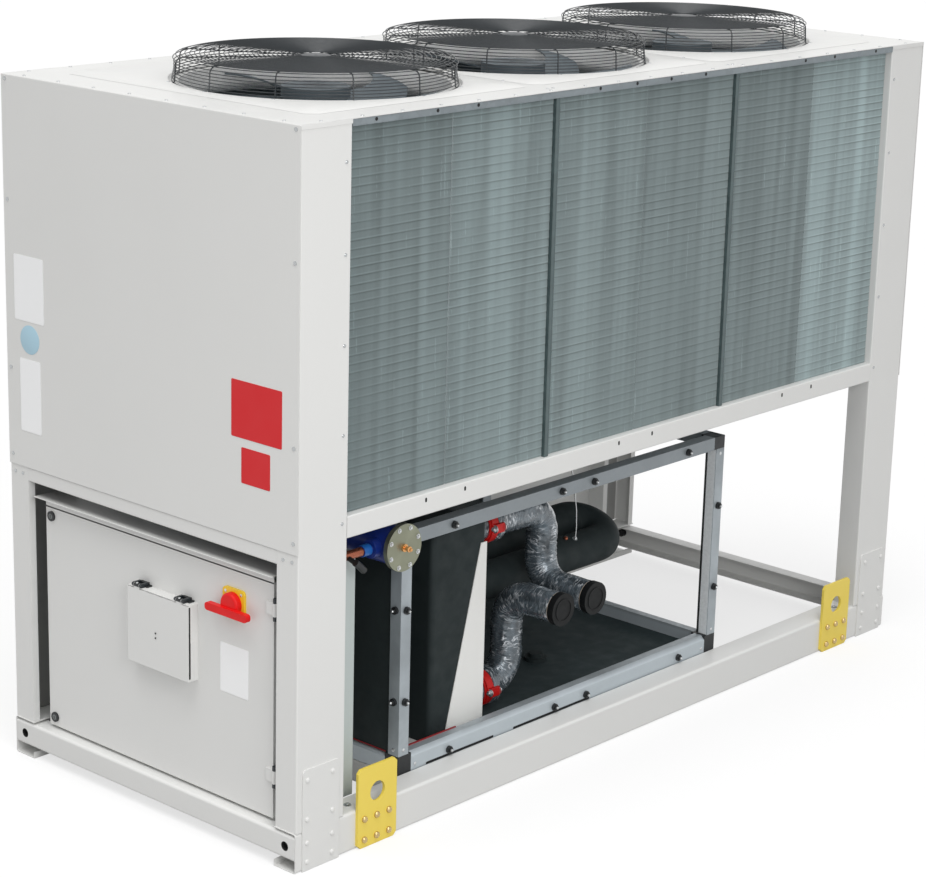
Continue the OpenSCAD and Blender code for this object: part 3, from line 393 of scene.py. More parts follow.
PANEL_GREY = (227, 227, 225)
FIN_COLOUR = (186, 198, 199)
# Painted light and shade: brightness of each of the six slabs of a side, for lit and shaded copies of the fin
# material
SLAB_PAINTED_LIGHT = (0.94, 1.06, 1.0, 0.88, 0.92, 1.2)
LOOKS = {
    "grey_paint": powder_coat("grey_paint", PANEL_GREY),
    "yellow_paint": powder_coat("yellow_paint", (243, 217, 92), 0.45),
    "galvanised": galvanised("galvanised", (158, 166, 170)),
    "coil_fins": fin_metal("coil_fins", FIN_COLOUR),
    "black_wire": wire_coat("black_wire", (32, 38, 42)),
    "fan_grey": moulded("fan_grey", (92, 102, 108), 0.5),
    "black_plastic": moulded("black_plastic", (24, 27, 29), 0.45),
    "yellow_plastic": moulded("yellow_plastic", (244, 204, 44), 0.4),
    "red_plastic": moulded("red_plastic", (226, 18, 20), 0.42, Specular_IOR_Level=0.3),
    "aluminium_bar": drawn_bar("aluminium_bar", (166, 174, 179)),
    "foam": foam("foam", (34, 42, 43)),
    "white_sheet": powder_coat("white_sheet", (242, 242, 239), 0.5),
    "red_paint": moulded("red_paint", (196, 26, 24), 0.4, Specular_IOR_Level=0.3),
    "pipe_wrap": film_wrap("pipe_wrap", (98, 109, 117)),
    "blue_paint": moulded("blue_paint", (20, 44, 124), 0.34),
    "zinc_flange": turned_metal("zinc_flange", (140, 142, 124), drier_centre),
    "copper": plain_metal("copper", (164, 98, 76), 0.3),
}
NODE_LOOKS = {
    # painted shade: a darker copy of the galvanised finish for the strips between the coil slabs
    "coil_strips": galvanised("shaded_galvanised", (84, 99, 100), 0.2),
    "top_strips": galvanised("top_galvanised", (134, 142, 146)),
    "cabinet_hood": recess_shade_paint("hood_painted_shade", PANEL_GREY),
    "corner_posts": post_shade_paint("post_painted_shade", PANEL_GREY),
    "fan_bells": powder_coat("bell_white", (250, 250, 249)),
    # painted shade: the cabinet box darker than the grey panels
    "cabinet_box": powder_coat("cabinet_painted_shade", (190, 199, 197)),
    "pipe_caps": moulded("cap_black", (13, 15, 16), 0.5, Specular_IOR_Level=0.2),
    "enclosure_mat": foam("mat_foam", (44, 55, 57)),
}
lit_and_shaded_slab_looks = [fin_metal(f"coil_fins_{n + 1}", FIN_COLOUR, painted_light) for n, painted_light in enumerate(SLAB_PAINTED_LIGHT)]
bright_screw = plain_metal("bright_screw", (205, 207, 208), 0.3)
brass = plain_metal("brass", (214, 160, 104), 0.28)
frame_screw = plain_metal("frame_screw", (184, 187, 188), 0.26)
pale_metal = plain_metal("pale_metal", (232, 236, 238), 0.45, 0.1)
zinc_bolt = plain_metal("zinc_bolt", (196, 172, 122), 0.26)
seal_red = moulded("seal_red", (142, 26, 32), 0.5)
nozzle_blue = moulded("nozzle_blue", (26, 98, 178), 0.34)
# painted shade: dark marks and cups standing in for the shadow inside holes, slots and gaps
hole_shade = moulded("hole_shade", (18, 19, 20), 0.8)
lock_grey = moulded("lock_grey", (112, 116, 116), 0.45)
tan_foam = foam("tan_foam", (186, 172, 156))
blank_white = powder_coat("blank_white", (253, 254, 255), 0.5)
blank_red = powder_coat("blank_red", (212, 10, 22), 0.5)
blank_blue = powder_coat("blank_blue", (178, 212, 228), 0.5)
coil_core = moulded("coil_core", (150, 158, 160), 0.7)

for part in frame["record"]["subparts"]:
    node = frame["nodes"][part["node"]]
    node.data.materials.clear()
    look = NODE_LOOKS.get(part["node"], LOOKS[part["material_slot"]])
    node.data.materials.append(look.material)


# Shapes
def across(axis):
    """Two directions at right angles to an axis."""
    helper = Vector((0, 0, 1)) if abs(axis.z) < 0.9 else Vector((1, 0, 0))
    first = helper.cross(axis).normalized()
    return first, axis.cross(first)


def frames_along(path, closed=False):
    """Each point of a path with two directions at right angles to the path."""
    count = len(path)
    side = None
    for i, place in enumerate(path):
        before = path[i - 1] if closed or i else place
        after = path[(i + 1) % count] if closed or i < count - 1 else place
        ahead = (after - before).normalized()
        side = across(ahead)[0] if side is None else (side - ahead * side.dot(ahead)).normalized()
        yield place, side, ahead.cross(side)


def ring_faces(count, loops, closed=False):
    """Faces between neighbouring loops that have the same count of points."""
    faces = []
    for k in range(loops if closed else loops - 1):
        near, far = k * count, (k + 1) % loops * count
        for i in range(count):
            j = (i + 1) % count
            faces.append((near + i, near + j, far + j, far + i))
    return faces


def end_faces(count, loops):
    """Faces over the first and the last loop."""
    return [tuple(reversed(range(count))), tuple(range((loops - 1) * count, loops * count))]


class Shape:
    """Collects the faces of one piece."""

    def __init__(self):
        self.points = []
        self.faces = []

    def add(self, points, faces):
        first = len(self.points)
        self.points += points
        self.faces += [tuple(first + i for i in face) for face in faces]

    def box(self, low, high):
        xs, ys, zs = zip(low, high)
        points = [Vector((x, y, z)) for x in xs for y in ys for z in zs]
        faces = [(0, 1, 3, 2), (4, 6, 7, 5), (0, 4, 5, 1), (2, 3, 7, 6), (0, 2, 6, 4), (1, 5, 7, 3)]
        self.add(points, faces)

    def turned(self, centre, axis, profile, sides=16, start=0.0):
        """Revolves (radius, height) pairs round an axis through a centre."""
        axis = Vector(axis).normalized()
        u, v = across(axis)
        turns = [start + 2 * math.pi * i / sides for i in range(sides)]
        around = [u * math.cos(a) + v * math.sin(a) for a in turns]
        points = [Vector(centre) + axis * h + d * r for r, h in profile for d in around]
        self.add(points, ring_faces(sides, len(profile)) + end_faces(sides, len(profile)))

    def screw(self, centre, axis, radius, height=0.003):
        """Round screw head."""
        head = [(radius, -0.0005), (radius, height * 0.45)]
        head += [(radius * 0.72, height * 0.85), (radius * 0.3, height)]
        self.turned(centre, axis, head, 12)

    def hex_bolt(self, centre, axis, radius, height):
        """Hexagon head on a washer."""
        washer_r, washer_t = radius * 1.5, 0.002
        head = [(radius, 0.001), (radius, height * 0.85), (radius * 0.86, height)]
        self.turned(centre, axis, [(washer_r, -0.0005), (washer_r, washer_t)], 20)
        self.turned(centre, axis, head, 6, 0.3)

    def tube(self, path, radius, sides=6, closed=False):
        """Round bar along a path of points."""
        turns = [2 * math.pi * k / sides for k in range(sides)]
        points = []
        for place, side, up in frames_along(path, closed):
            points += [place + (side * math.cos(a) + up * math.sin(a)) * radius for a in turns]
        faces = ring_faces(sides, len(path), closed)
        self.add(points, faces if closed else faces + end_faces(sides, len(path)))

    def plate(self, centre, normal, up, width, height, thickness, corner, steps=4):
        """Flat plate with round corners that stands on its centre along the normal."""
        normal = Vector(normal).normalized()
        up = Vector(up).normalized()
        right = up.cross(normal)
        outline = []
        for quarter, (sx, sy) in enumerate(((1, 1), (-1, 1), (-1, -1), (1, -1))):
            hub_x, hub_y = sx * (width / 2 - corner), sy * (height / 2 - corner)
            turns = [math.pi / 2 * (quarter + k / steps) for k in range(steps + 1)]
            outline += [(hub_x + corner * math.cos(a), hub_y + corner * math.sin(a)) for a in turns]
        points = []
        for rise in (0.0, thickness):
            points += [Vector(centre) + right * x + up * y + normal * rise for x, y in outline]
        self.add(points, ring_faces(len(outline), 2) + end_faces(len(outline), 2))


def shapes(count):
    return [Shape() for _ in range(count)]


def make(name, shape, look, body="frame", sharp=40.0):
    """Turns a shape into a piece that rides on a body."""
    mesh = bpy.data.meshes.new(name)
    mesh.from_pydata([tuple(p) for p in shape.points], [], shape.faces)
    mesh.validate()
    mesh.polygons.foreach_set("use_smooth", [True] * len(mesh.polygons))
    mesh.set_sharp_from_angle(angle=math.radians(sharp))
    mesh.materials.append(look.material)
    piece = bpy.data.objects.new(name, mesh)
    bpy.context.scene.collection.objects.link(piece)
    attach(piece, body)
    return piece


def circle(centre, radius, count):
    turns = [2 * math.pi * i / count for i in range(count)]
    return [centre + Vector((math.cos(a), math.sin(a), 0)) * radius for a in turns]


# Coils: thin fins in front of a core
def coil_slabs():
    """Ends of the two slabs under each fan."""
    edges = [-post_in, -deck_joint, deck_joint, post_in]
    slabs = []
    for i, fan in enumerate(FANS):
        slabs.append((edges[i] + SLAB_GAP, fan.x - SLAB_GAP))
        slabs.append((fan.x + SLAB_GAP, edges[i + 1] - SLAB_GAP))
    return slabs


def coil_side(side, facing):
    """Slabs of one long side, whose fins dip and lean a little at each row of tubes."""
    node = "coil_" + side
    low, high = LOW[node], HIGH[node]
    face, back = (low.y, high.y) if facing < 0 else (high.y, low.y)
    rows = round((high.z - low.z) / TUBE_ROW)
    row = (high.z - low.z) / rows
    dip, lean, margin, lap = 0.002, 0.0006, 0.002, 0.001
    steps = ((0.0, dip, 0.0), (0.16, 0.0, lean), (0.84, 0.0, -lean))
    levels = []
    for r in range(rows):
        levels += [(low.z + r * row + share * row, recess, aside) for share, recess, aside in steps]
    levels.append((high.z, dip, 0.0))
    fin_faces = [(2 * k, 2 * k + 1, 2 * k + 3, 2 * k + 2) for k in range(len(levels) - 1)]
    cores = Shape()
    for number, (x0, x1) in enumerate(coil_slabs()):
        fins = Shape()
        run = x1 - x0 - 2 * margin
        count = int(run / FIN_PITCH)
        for i in range(count + 1):
            x = x0 + margin + run * i / count
            points = []
            for z, recess, aside in levels:
                points.append(Vector((x + aside, face - facing * recess, z)))
                points.append(Vector((x + aside, face - facing * FIN_DEPTH, z)))
            fins.add(points, fin_faces)
        piece = make(f"{node}_fins_{number + 1}", fins, lit_and_shaded_slab_looks[number])
        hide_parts(node)
        depth = sorted((face - facing * (FIN_DEPTH - lap), back))
        cores.box((x0, depth[0], low.z), (x1, depth[1], high.z))
    core = make(f"{node}_core", cores, coil_core)
    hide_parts(node)


# Wire guards over the fans
def guard_section(foot_r, rim_r, height):
    """Points of a guard's radial wire from the middle plate to the foot, as (radius, height) pairs."""
    flat_r, wall_h = rim_r - GUARD_SHOULDER, height - GUARD_SHOULDER
    foot_z, foot_l = 0.0022, 0.022
    section = [(0.02, height), (0.2, height)]
    for k in range(7):
        turn = math.pi / 2 * k / 6
        section.append((flat_r + GUARD_SHOULDER * math.sin(turn), wall_h + GUARD_SHOULDER * math.cos(turn)))
    section.append((rim_r + (foot_r - rim_r) * 0.4, 0.006))
    section += [(foot_r + 0.004, foot_z), (foot_r + foot_l, foot_z)]
    return section


def fan_guard(name, centre):
    """Spokes and hoops of one guard, with its small middle plate and the screws at its feet."""
    node = "fan_guard_" + name
    foot_r = (HIGH[node].x - LOW[node].x) / 2
    rim_r = foot_r - 0.007
    height = HIGH[node].z - deck_z - WIRE_R * 3
    flat_r, wall_h = rim_r - GUARD_SHOULDER, height - GUARD_SHOULDER
    spokes, wall_hoops = 12, 7
    spoke_r = WIRE_R * 1.4
    screw_in, screw_z = 0.014, 0.0035
    base = Vector((centre.x, centre.y, deck_z))
    wires, feet = shapes(2)

    def hoop(radius, z):
        wires.tube(circle(base + Vector((0, 0, z)), radius, 72), WIRE_R, 5, True)

    section = guard_section(foot_r, rim_r, height)
    for i in range(spokes):
        turn = 2 * math.pi * i / spokes
        out = Vector((math.cos(turn), math.sin(turn), 0))
        wires.tube([base + out * r + Vector((0, 0, h)) for r, h in section], spoke_r, 6)
        feet.screw(base + out * (foot_r + screw_in) + Vector((0, 0, screw_z)), UP, 0.008, 0.005)
    for i in range(int((flat_r - GUARD_PLATE_R) / GUARD_PITCH)):
        hoop(flat_r - GUARD_PITCH * i, height + 2 * WIRE_R)
    bend_r = GUARD_SHOULDER + 2 * WIRE_R
    for turn in (math.pi / 6, math.pi / 3):
        hoop(flat_r + bend_r * math.sin(turn), wall_h + bend_r * math.cos(turn))
    for i in range(wall_hoops):
        share = i / (wall_hoops - 1)
        lean = min(1.0, share * 1.6)
        hoop(foot_r + (rim_r - foot_r) * lean - 2 * WIRE_R, spoke_r + wall_h * share)
    plate = [(GUARD_PLATE_R, 0.0), (GUARD_PLATE_R, 0.003)]
    plate += [(GUARD_PLATE_R - 0.007, 0.005), (0.02, 0.0055)]
    wires.turned(base + Vector((0, 0, height - 0.002)), UP, plate, 48)
    piece = make(node + "_wires", wires, LOOKS["black_wire"])
    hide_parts(node)
    make(node + "_screws", feet, bright_screw)


# Rectangles with cut corners round a hole
def cut_edge(turn, reach_x, reach_y, cut, inset=0.0):
    """Distance from the hole's middle to the edge in one direction."""
    c, s = math.cos(turn), math.sin(turn)
    half_x = reach_x[1 if c > 0 else -1]
    half_y = reach_y[1 if s > 0 else -1]
    c, s = abs(c) + 1e-9, abs(s) + 1e-9
    return min((half_x - inset) / c, (half_y - inset) / s, (half_x + half_y - cut - inset * 1.4) / (c + s))


def cut_turns(reach_x, reach_y, cut):
    """Directions that meet every corner, with an even spread between them."""
    turns = {2 * math.pi * i / 96 for i in range(96)}
    for sx in (-1, 1):
        for sy in (-1, 1):
            for back_x, back_y in ((cut, 0), (0, cut)):
                turn = math.atan2(sy * (reach_y[sy] - back_y), sx * (reach_x[sx] - back_x))
                turns.add(turn % (2 * math.pi))
    return sorted(turns)


def deck_platform(name, centre, left, right):
    """Pressed platform of the deck round a fan."""
    cut, slope, rise, foot, lip = 0.03, 0.02, 0.007, 0.0005, 0.006
    guard = "fan_guard_" + name
    hole_r = (HIGH[guard].x - LOW[guard].x) / 2 + 0.002
    base = Vector((centre.x, centre.y, deck_z))
    reach_x = {1: right - centre.x, -1: centre.x - left}
    reach_y = {1: PLATFORM_DEPTH - centre.y, -1: centre.y + PLATFORM_DEPTH}
    turns = cut_turns(reach_x, reach_y, cut)
    loops = [
        ([cut_edge(t, reach_x, reach_y, cut) for t in turns], foot),
        ([cut_edge(t, reach_x, reach_y, cut, slope) for t in turns], rise),
        ([hole_r + lip] * len(turns), rise),
        ([hole_r] * len(turns), foot),
    ]
    points = []
    for radii, height in loops:
        for t, r in zip(turns, radii):
            points.append(base + Vector((math.cos(t) * r, math.sin(t) * r, height)))
    shape = Shape()
    shape.add(points, ring_faces(len(turns), len(loops)))
    make("deck_platform_" + name, shape, LOOKS["grey_paint"], sharp=20.0)


def lifting_plates():
    """Plates on the base rails with a round hole and small cut corners."""
    node = "lifting_plates"
    mount = next(m for m in frame["record"]["mounts"] if m["name"] == "lift_front_left")
    hole = Vector(mount["pos_m"])
    hole_r = mount["dims"]["r_mm"] / 1000
    thick = mount["dims"]["length_mm"] / 1000
    half = hole.x - LOW[node].x
    cut = 0.012
    reach_x = {1: half, -1: half}
    reach_z = {1: HIGH[node].z - hole.z, -1: hole.z - LOW[node].z}
    turns = cut_turns(reach_x, reach_z, cut)
    rim = [hole_r] * len(turns)
    edge = [cut_edge(t, reach_x, reach_z, cut) for t in turns]
    loops = ((rim, 0.0), (rim, thick), (edge, thick), (edge, 0.0))
    faces = ring_faces(len(turns), len(loops), True)
    turned_over = [tuple(reversed(face)) for face in faces]
    shape = Shape()
    for sx in (-1, 1):
        for sy in (-1, 1):
            points = []
            for radii, depth in loops:
                y = sy * (LOW[node].y + thick - depth)
                for t, r in zip(turns, radii):
                    points.append(Vector((sx * hole.x + math.cos(t) * r, y, hole.z + math.sin(t) * r)))
            shape.add(points, faces if sy > 0 else turned_over)
    piece = make("lifting_plate_sheets", shape, LOOKS["yellow_paint"])
    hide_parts(node)


def deck_lips():
    """Folded edge of the deck over the outer faces of the posts."""
    shape = Shape()
    lip_h, lip_t = 0.014, 0.0015
    width = right_x - lip_t - post_in
    for sx in (-1, 1):
        for sy in (-1, 1):
            middle = (sx * (post_in + width / 2), -sy * front_y, deck_z - lip_h / 2)
            shape.plate(middle, (0, sy, 0), UP, width, lip_h, lip_t, 0.003)
    make("deck_lips", shape, LOOKS["grey_paint"])


# Pipes wrapped in film
def run_to(path, end, step):
    """Adds a straight run of evenly spaced points to a path."""
    start = path[-1]
    steps = max(1, int((end - start).length / step))
    path += [start.lerp(end, (k + 1) / steps) for k in range(steps)]


def rounded_path(corners, radii, step=0.004):
    """Points along straight runs with round bends at the inner corners."""
    path = [corners[0]]
    for corner, before, after, radius in zip(corners[1:-1], corners[:-2], corners[2:], radii):
        back = (before - corner).normalized()
        ahead = (after - corner).normalized()
        hub = corner + (back + ahead) * radius
        run_to(path, corner + back * radius, step)
        bends = max(6, int(radius * math.pi / 2 / step))
        for k in range(1, bends + 1):
            turn = math.pi / 2 * k / bends
            path.append(hub - ahead * radius * math.cos(turn) - back * radius * math.sin(turn))
    run_to(path, corners[-1], step)
    return path


def loose_film(travel):
    """Share of the film's swelling where it laps over a coupling near the start of a pipe."""
    start = LOW["pipe_couplings"].x - LOW["upper_water_pipe"].x + 0.034
    end = HIGH["pipe_couplings"].x - LOW["upper_water_pipe"].x
    taper = 0.03
    if travel < start:
        return 0.0
    return max(0.0, min(1.0, 1.0 - (travel - end) / taper))


def wrapped_pipe(node, path, seed):
    """Pipe whose film wrinkles run round it, closely on the bends."""
    sides = 48
    inset, fold_h, sag_h = 0.0012, 0.0016, 0.0018
    swell = HIGH["pipe_couplings"].z - HIGH["upper_water_pipe"].z + 0.003
    turns = [2 * math.pi * k / sides for k in range(sides)]
    points, shares = [], []
    travel = 0.0
    last = path[0]
    for place, side, up in frames_along(path):
        travel += (place - last).length
        last = place
        for turn in turns:
            c, s = math.cos(turn), math.sin(turn)
            drift = noise.noise(Vector((travel * 6 + seed, c * 0.8, s * 0.8)))
            wrinkle = noise.noise(Vector((travel * 48 + 3 * drift + seed, c * 1.3, s * 1.3)))
            fold = 1.0 - abs(wrinkle) * 2.2
            sag = noise.noise(Vector((travel * 14 - seed, c, s)))
            out = PIPE_D / 2 - inset + fold_h * fold + sag_h * sag + swell * loose_film(travel)
            points.append(place + (side * c + up * s) * out)
            shares += (travel + seed, c, s)
    shape = Shape()
    shape.add(points, ring_faces(sides, len(path)) + end_faces(sides, len(path)))
    piece = make(node + "_film", shape, LOOKS["pipe_wrap"], sharp=60.0)
    film = piece.data.attributes.new("film", "FLOAT_VECTOR", "POINT")
    film.data.foreach_set("vector", shares)
    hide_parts(node)


def water_pipes():
    """Both pipes run out from a port, turn up or down and then to the front."""
    half = PIPE_D / 2
    port_y = HIGH["lower_water_pipe"].y - half
    pipes = (("lower_water_pipe", LOW_BEND_R, 3.0), ("upper_water_pipe", PIPE_BEND_R, 41.0))
    for node, first_bend, seed in pipes:
        low, high = LOW[node], HIGH[node]
        turn_x = high.x - half
        port_z, end_z = low.z + half, high.z - half
        if node == "upper_water_pipe":
            port_z, end_z = end_z, port_z
        places = [(low.x, port_y, port_z), (turn_x, port_y, port_z)]
        places += [(turn_x, port_y, end_z), (turn_x, low.y, end_z)]
        path = rounded_path([Vector(place) for place in places], [first_bend, PIPE_BEND_R])
        wrapped_pipe(node, path, seed)


# Screws, rivets, bolts and holes
def frame_fasteners():
    """Fasteners of the frame, dark cups of painted shade in its handling holes and dark marks of painted shade for
    the small holes in its rails.
    """
    post_screw_x, post_screws_z = 1.357, (1.033, 1.294, 1.555, 1.814, 2.073)
    panel_screw_y, panel_screws_z = 0.628, (1.008, 1.286, 1.811, 2.178)
    end_screws_y, end_screw_z = (0.585, 0.621), 0.951
    rivets_x, rivets_z = (1.489, 1.387), (0.028, 0.088, 0.162, 0.285)
    lift_x, lift_bolts_x, lift_bolts_z = 1.205, (-0.052, 0.0, 0.052), (0.026, 0.092)
    rail_bolt_x, rail_bolt_y = 1.273, 0.6
    cup_y, cup_z = 0.601, 0.076
    cup = [(0.0149, -0.02), (0.0149, -0.001), (0.0135, -0.001), (0.0135, -0.018)]
    strip_holes_x = (-1.242, -0.993, -0.821, -0.268, -0.089, 0.082, 0.26, 0.81, 0.981, 1.23)
    strip_hole, strip_hole_z = [(0.0055, -0.001), (0.0055, FLAT)], 2.181
    rail_slots_x, rail_slot_z = (-1.007, -0.836, -0.104, 0.067, 0.79, 0.964), 1.031
    slot_w, slot_h, slot_corner = 0.008, 0.014, 0.0039
    screws, rivets, bolts, holes, domes, cups = shapes(6)
    for sx in (-1, 1):
        for sy in (-1, 1):
            out_x, out_y = (sx, 0, 0), (0, sy, 0)
            for z in post_screws_z:
                screws.screw((sx * post_screw_x, sy * -front_y, z), out_y, PANEL_SCREW_R)
            for z in panel_screws_z:
                screws.screw((sx * right_x, sy * panel_screw_y, z), out_x, 0.0065)
            for y in end_screws_y:
                screws.screw((sx * HIGH["corner_posts"].x, sy * y, end_screw_z), out_x, PANEL_SCREW_R)
            for x in rivets_x:
                for z in rivets_z:
                    rivets.screw((sx * x, sy * HIGH["gusset_plates"].y, z), out_y, 0.008, 0.005)
            for x in lift_bolts_x:
                for z in lift_bolts_z:
                    domes.screw((sx * lift_x + x, sy * HIGH["lifting_plates"].y, z), out_y, 0.0105, 0.009)
            bolts.hex_bolt((sx * rail_bolt_x, sy * rail_bolt_y, HIGH["base_rails"].z), UP, 0.008, 0.006)
            cups.turned((sx * HIGH["base_beams"].x, sy * cup_y, cup_z), out_x, cup, 28)
    for sy in (-1, 1):
        face = sy * (-front_y + 0.0002)
        for x in strip_holes_x:
            holes.turned((x, face, strip_hole_z), (0, sy, 0), strip_hole, 14)
        for x in rail_slots_x:
            holes.plate((x, face, rail_slot_z), (0, sy, 0), UP, slot_w, slot_h, FLAT, slot_corner)
    make("frame_screws", screws, frame_screw)
    make("gusset_rivets", rivets, LOOKS["grey_paint"])
    make("lifting_bolts", domes, zinc_bolt)
    make("rail_bolts", bolts, frame_screw)
    make("rail_holes", holes, hole_shade)
    make("beam_hole_cups", cups, hole_shade)


def deck_fasteners():
    """Rows of screws along the joints and the edges of the deck."""
    joint_off, joint_y, joint_pitch = 0.012, -0.6, 0.2
    edge_x, edge_y, edge_pitch = -1.44, 0.628, 0.16
    end_x, end_y = 1.512, -0.56
    places = []
    for x in (-deck_joint, deck_joint):
        for off in (-joint_off, joint_off):
            places += [(x + off, joint_y + joint_pitch * i) for i in range(7)]
    for sy in (-1, 1):
        places += [(edge_x + edge_pitch * i, sy * edge_y) for i in range(19)]
    for sx in (-1, 1):
        places += [(sx * end_x, end_y + edge_pitch * i) for i in range(8)]
    screws = Shape()
    for x, y in places:
        screws.screw((x, y, deck_z), UP, PANEL_SCREW_R)
    make("deck_screws", screws, bright_screw)


def blank_plates():
    """Blank plates on the left end panel and on the door."""
    thick = 0.0008
    plates = (
        ("plate_upper", blank_white, left_x, 0.5335, 1.545, 0.141, 0.204, 0.006, "frame", "white_sheet"),
        ("plate_lower", blank_white, left_x, 0.534, 1.208, 0.1, 0.232, 0.006, "frame", "white_sheet"),
        ("plate_red_large", blank_red, left_x, -0.4765, 1.357, 0.207, 0.168, 0.004, "frame", "red_paint"),
        ("plate_red_small", blank_red, left_x, -0.474, 1.194, 0.118, 0.106, 0.004, "frame", "red_paint"),
        ("plate_door", blank_white, door_x, -0.3485, 0.5425, 0.122, 0.155, 0.004, "door", "white_sheet"),
    )
    for name, look, x, y, z, width, height, corner, body, slot in plates:
        shape = Shape()
        shape.plate((x, y, z), LEFT, UP, width, height, thick, corner)
        make(name, shape, look, body)
    disc = Shape()
    disc.turned((left_x, 0.533, 1.387), LEFT, [(0.0455, 0.0), (0.0455, 0.0006), (0.0445, thick)], 40)
    make("plate_round", disc, blank_blue)


def door_fittings():
    """Small fittings of the cabinet door and of the controller's flap."""
    keys, dots, leaves, screws, latch, sleeves, flap_screws, folds, flap_dots = shapes(9)
    low, high = LOW["door_locks"], HIGH["door_locks"]
    lock_y = (low.y + high.y) / 2
    lock_r = high.y - lock_y
    key = [(0.0085, -0.0005), (0.0085, 0.0006), (0.007, 0.0012)]
    for z in (low.z + lock_r, high.z - lock_r):
        keys.turned((low.x, lock_y, z), LEFT, key, 24)
        # painted shade: dark slots of the locks
        dots.plate((low.x - 0.0011, lock_y, z), LEFT, UP, 0.003, 0.011, FLAT, 0.0014)

    low, high = LOW["controller_flap"], HIGH["controller_flap"]
    dot_y, dots_z = (low.y + high.y) / 2 + 0.008, (0.573, 0.588)
    for z in dots_z:
        # painted shade: dark dots on the flap
        flap_dots.turned((low.x, dot_y, z), LEFT, [(0.003, -0.0002), (0.003, FLAT)], 12)

    top = HIGH["controller_housing"].z
    axis = next(Vector(j["pos_m"]) for j in frame["joints"] if j["name"] == "flap_swing")
    leaf_x, block_x, hinge_in = -1.5075, -1.5025, 0.02
    sleeve_half = 0.0118
    sleeve = [(0.0058, 0.0), (0.0063, 0.001), (0.0063, 0.0226), (0.0058, 2 * sleeve_half)]
    for y in (LOW["controller_hinges"].y + hinge_in, HIGH["controller_hinges"].y - hinge_in):
        leaves.plate((leaf_x, y, top), UP, (1, 0, 0), 0.058, 0.022, 0.004, 0.003)
        leaves.plate((block_x, y, top + 0.0035), UP, (1, 0, 0), 0.036, 0.01, 0.007, 0.003)
        sleeves.turned((axis.x, y - sleeve_half, axis.z), (0, 1, 0), sleeve, 20)
        flap_screws.screw((axis.x, y, axis.z + 0.006), UP, 0.0042, 0.0025)

    corner = LOW["controller_housing"]
    gap_z, latch_z = 0.592, 0.536
    # painted shadow: dark strip in the gap beside the controller housing
    dots.plate((corner.x + 0.0028, corner.y, gap_z), FRONT, UP, 0.0056, 0.226, 0.0004, 0.001)
    latch.plate((corner.x + 0.0115, corner.y, latch_z), FRONT, UP, 0.011, 0.118, 0.0018, 0.003)

    low, high = LOW["cabinet_door"], HIGH["cabinet_door"]
    fold_t, hinge_side, lap = 0.0012, 0.022, 0.004
    fold_top = LOW["cabinet_hood"].z - lap
    middle = (door_x + fold_t, (low.y + hinge_side + high.y) / 2, (high.z - lap + fold_top) / 2)
    folds.plate(middle, LEFT, UP, high.y - low.y - hinge_side, fold_top - high.z + lap, fold_t, 0.001)

    low, high = LOW["switch_plate"], HIGH["switch_plate"]
    inset = 0.013
    for y in (low.y + inset, high.y - inset):
        for z in (low.z + inset, high.z - inset):
            screws.screw((low.x, y, z), LEFT, 0.005, 0.002)

    make("lock_keys", keys, lock_grey, "door")
    make("door_dots", dots, hole_shade, "door")
    make("flap_hinge_leaves", leaves, LOOKS["black_plastic"], "door")
    make("controller_latch", latch, LOOKS["grey_paint"], "door")
    make("door_screws", screws, bright_screw, "door")
    make("door_top_fold", folds, LOOKS["grey_paint"], "door")
    make("flap_hinge_sleeves", sleeves, LOOKS["black_plastic"], "flap")
    make("flap_hinge_screws", flap_screws, bright_screw, "flap")
    make("flap_dots", flap_dots, hole_shade, "flap")


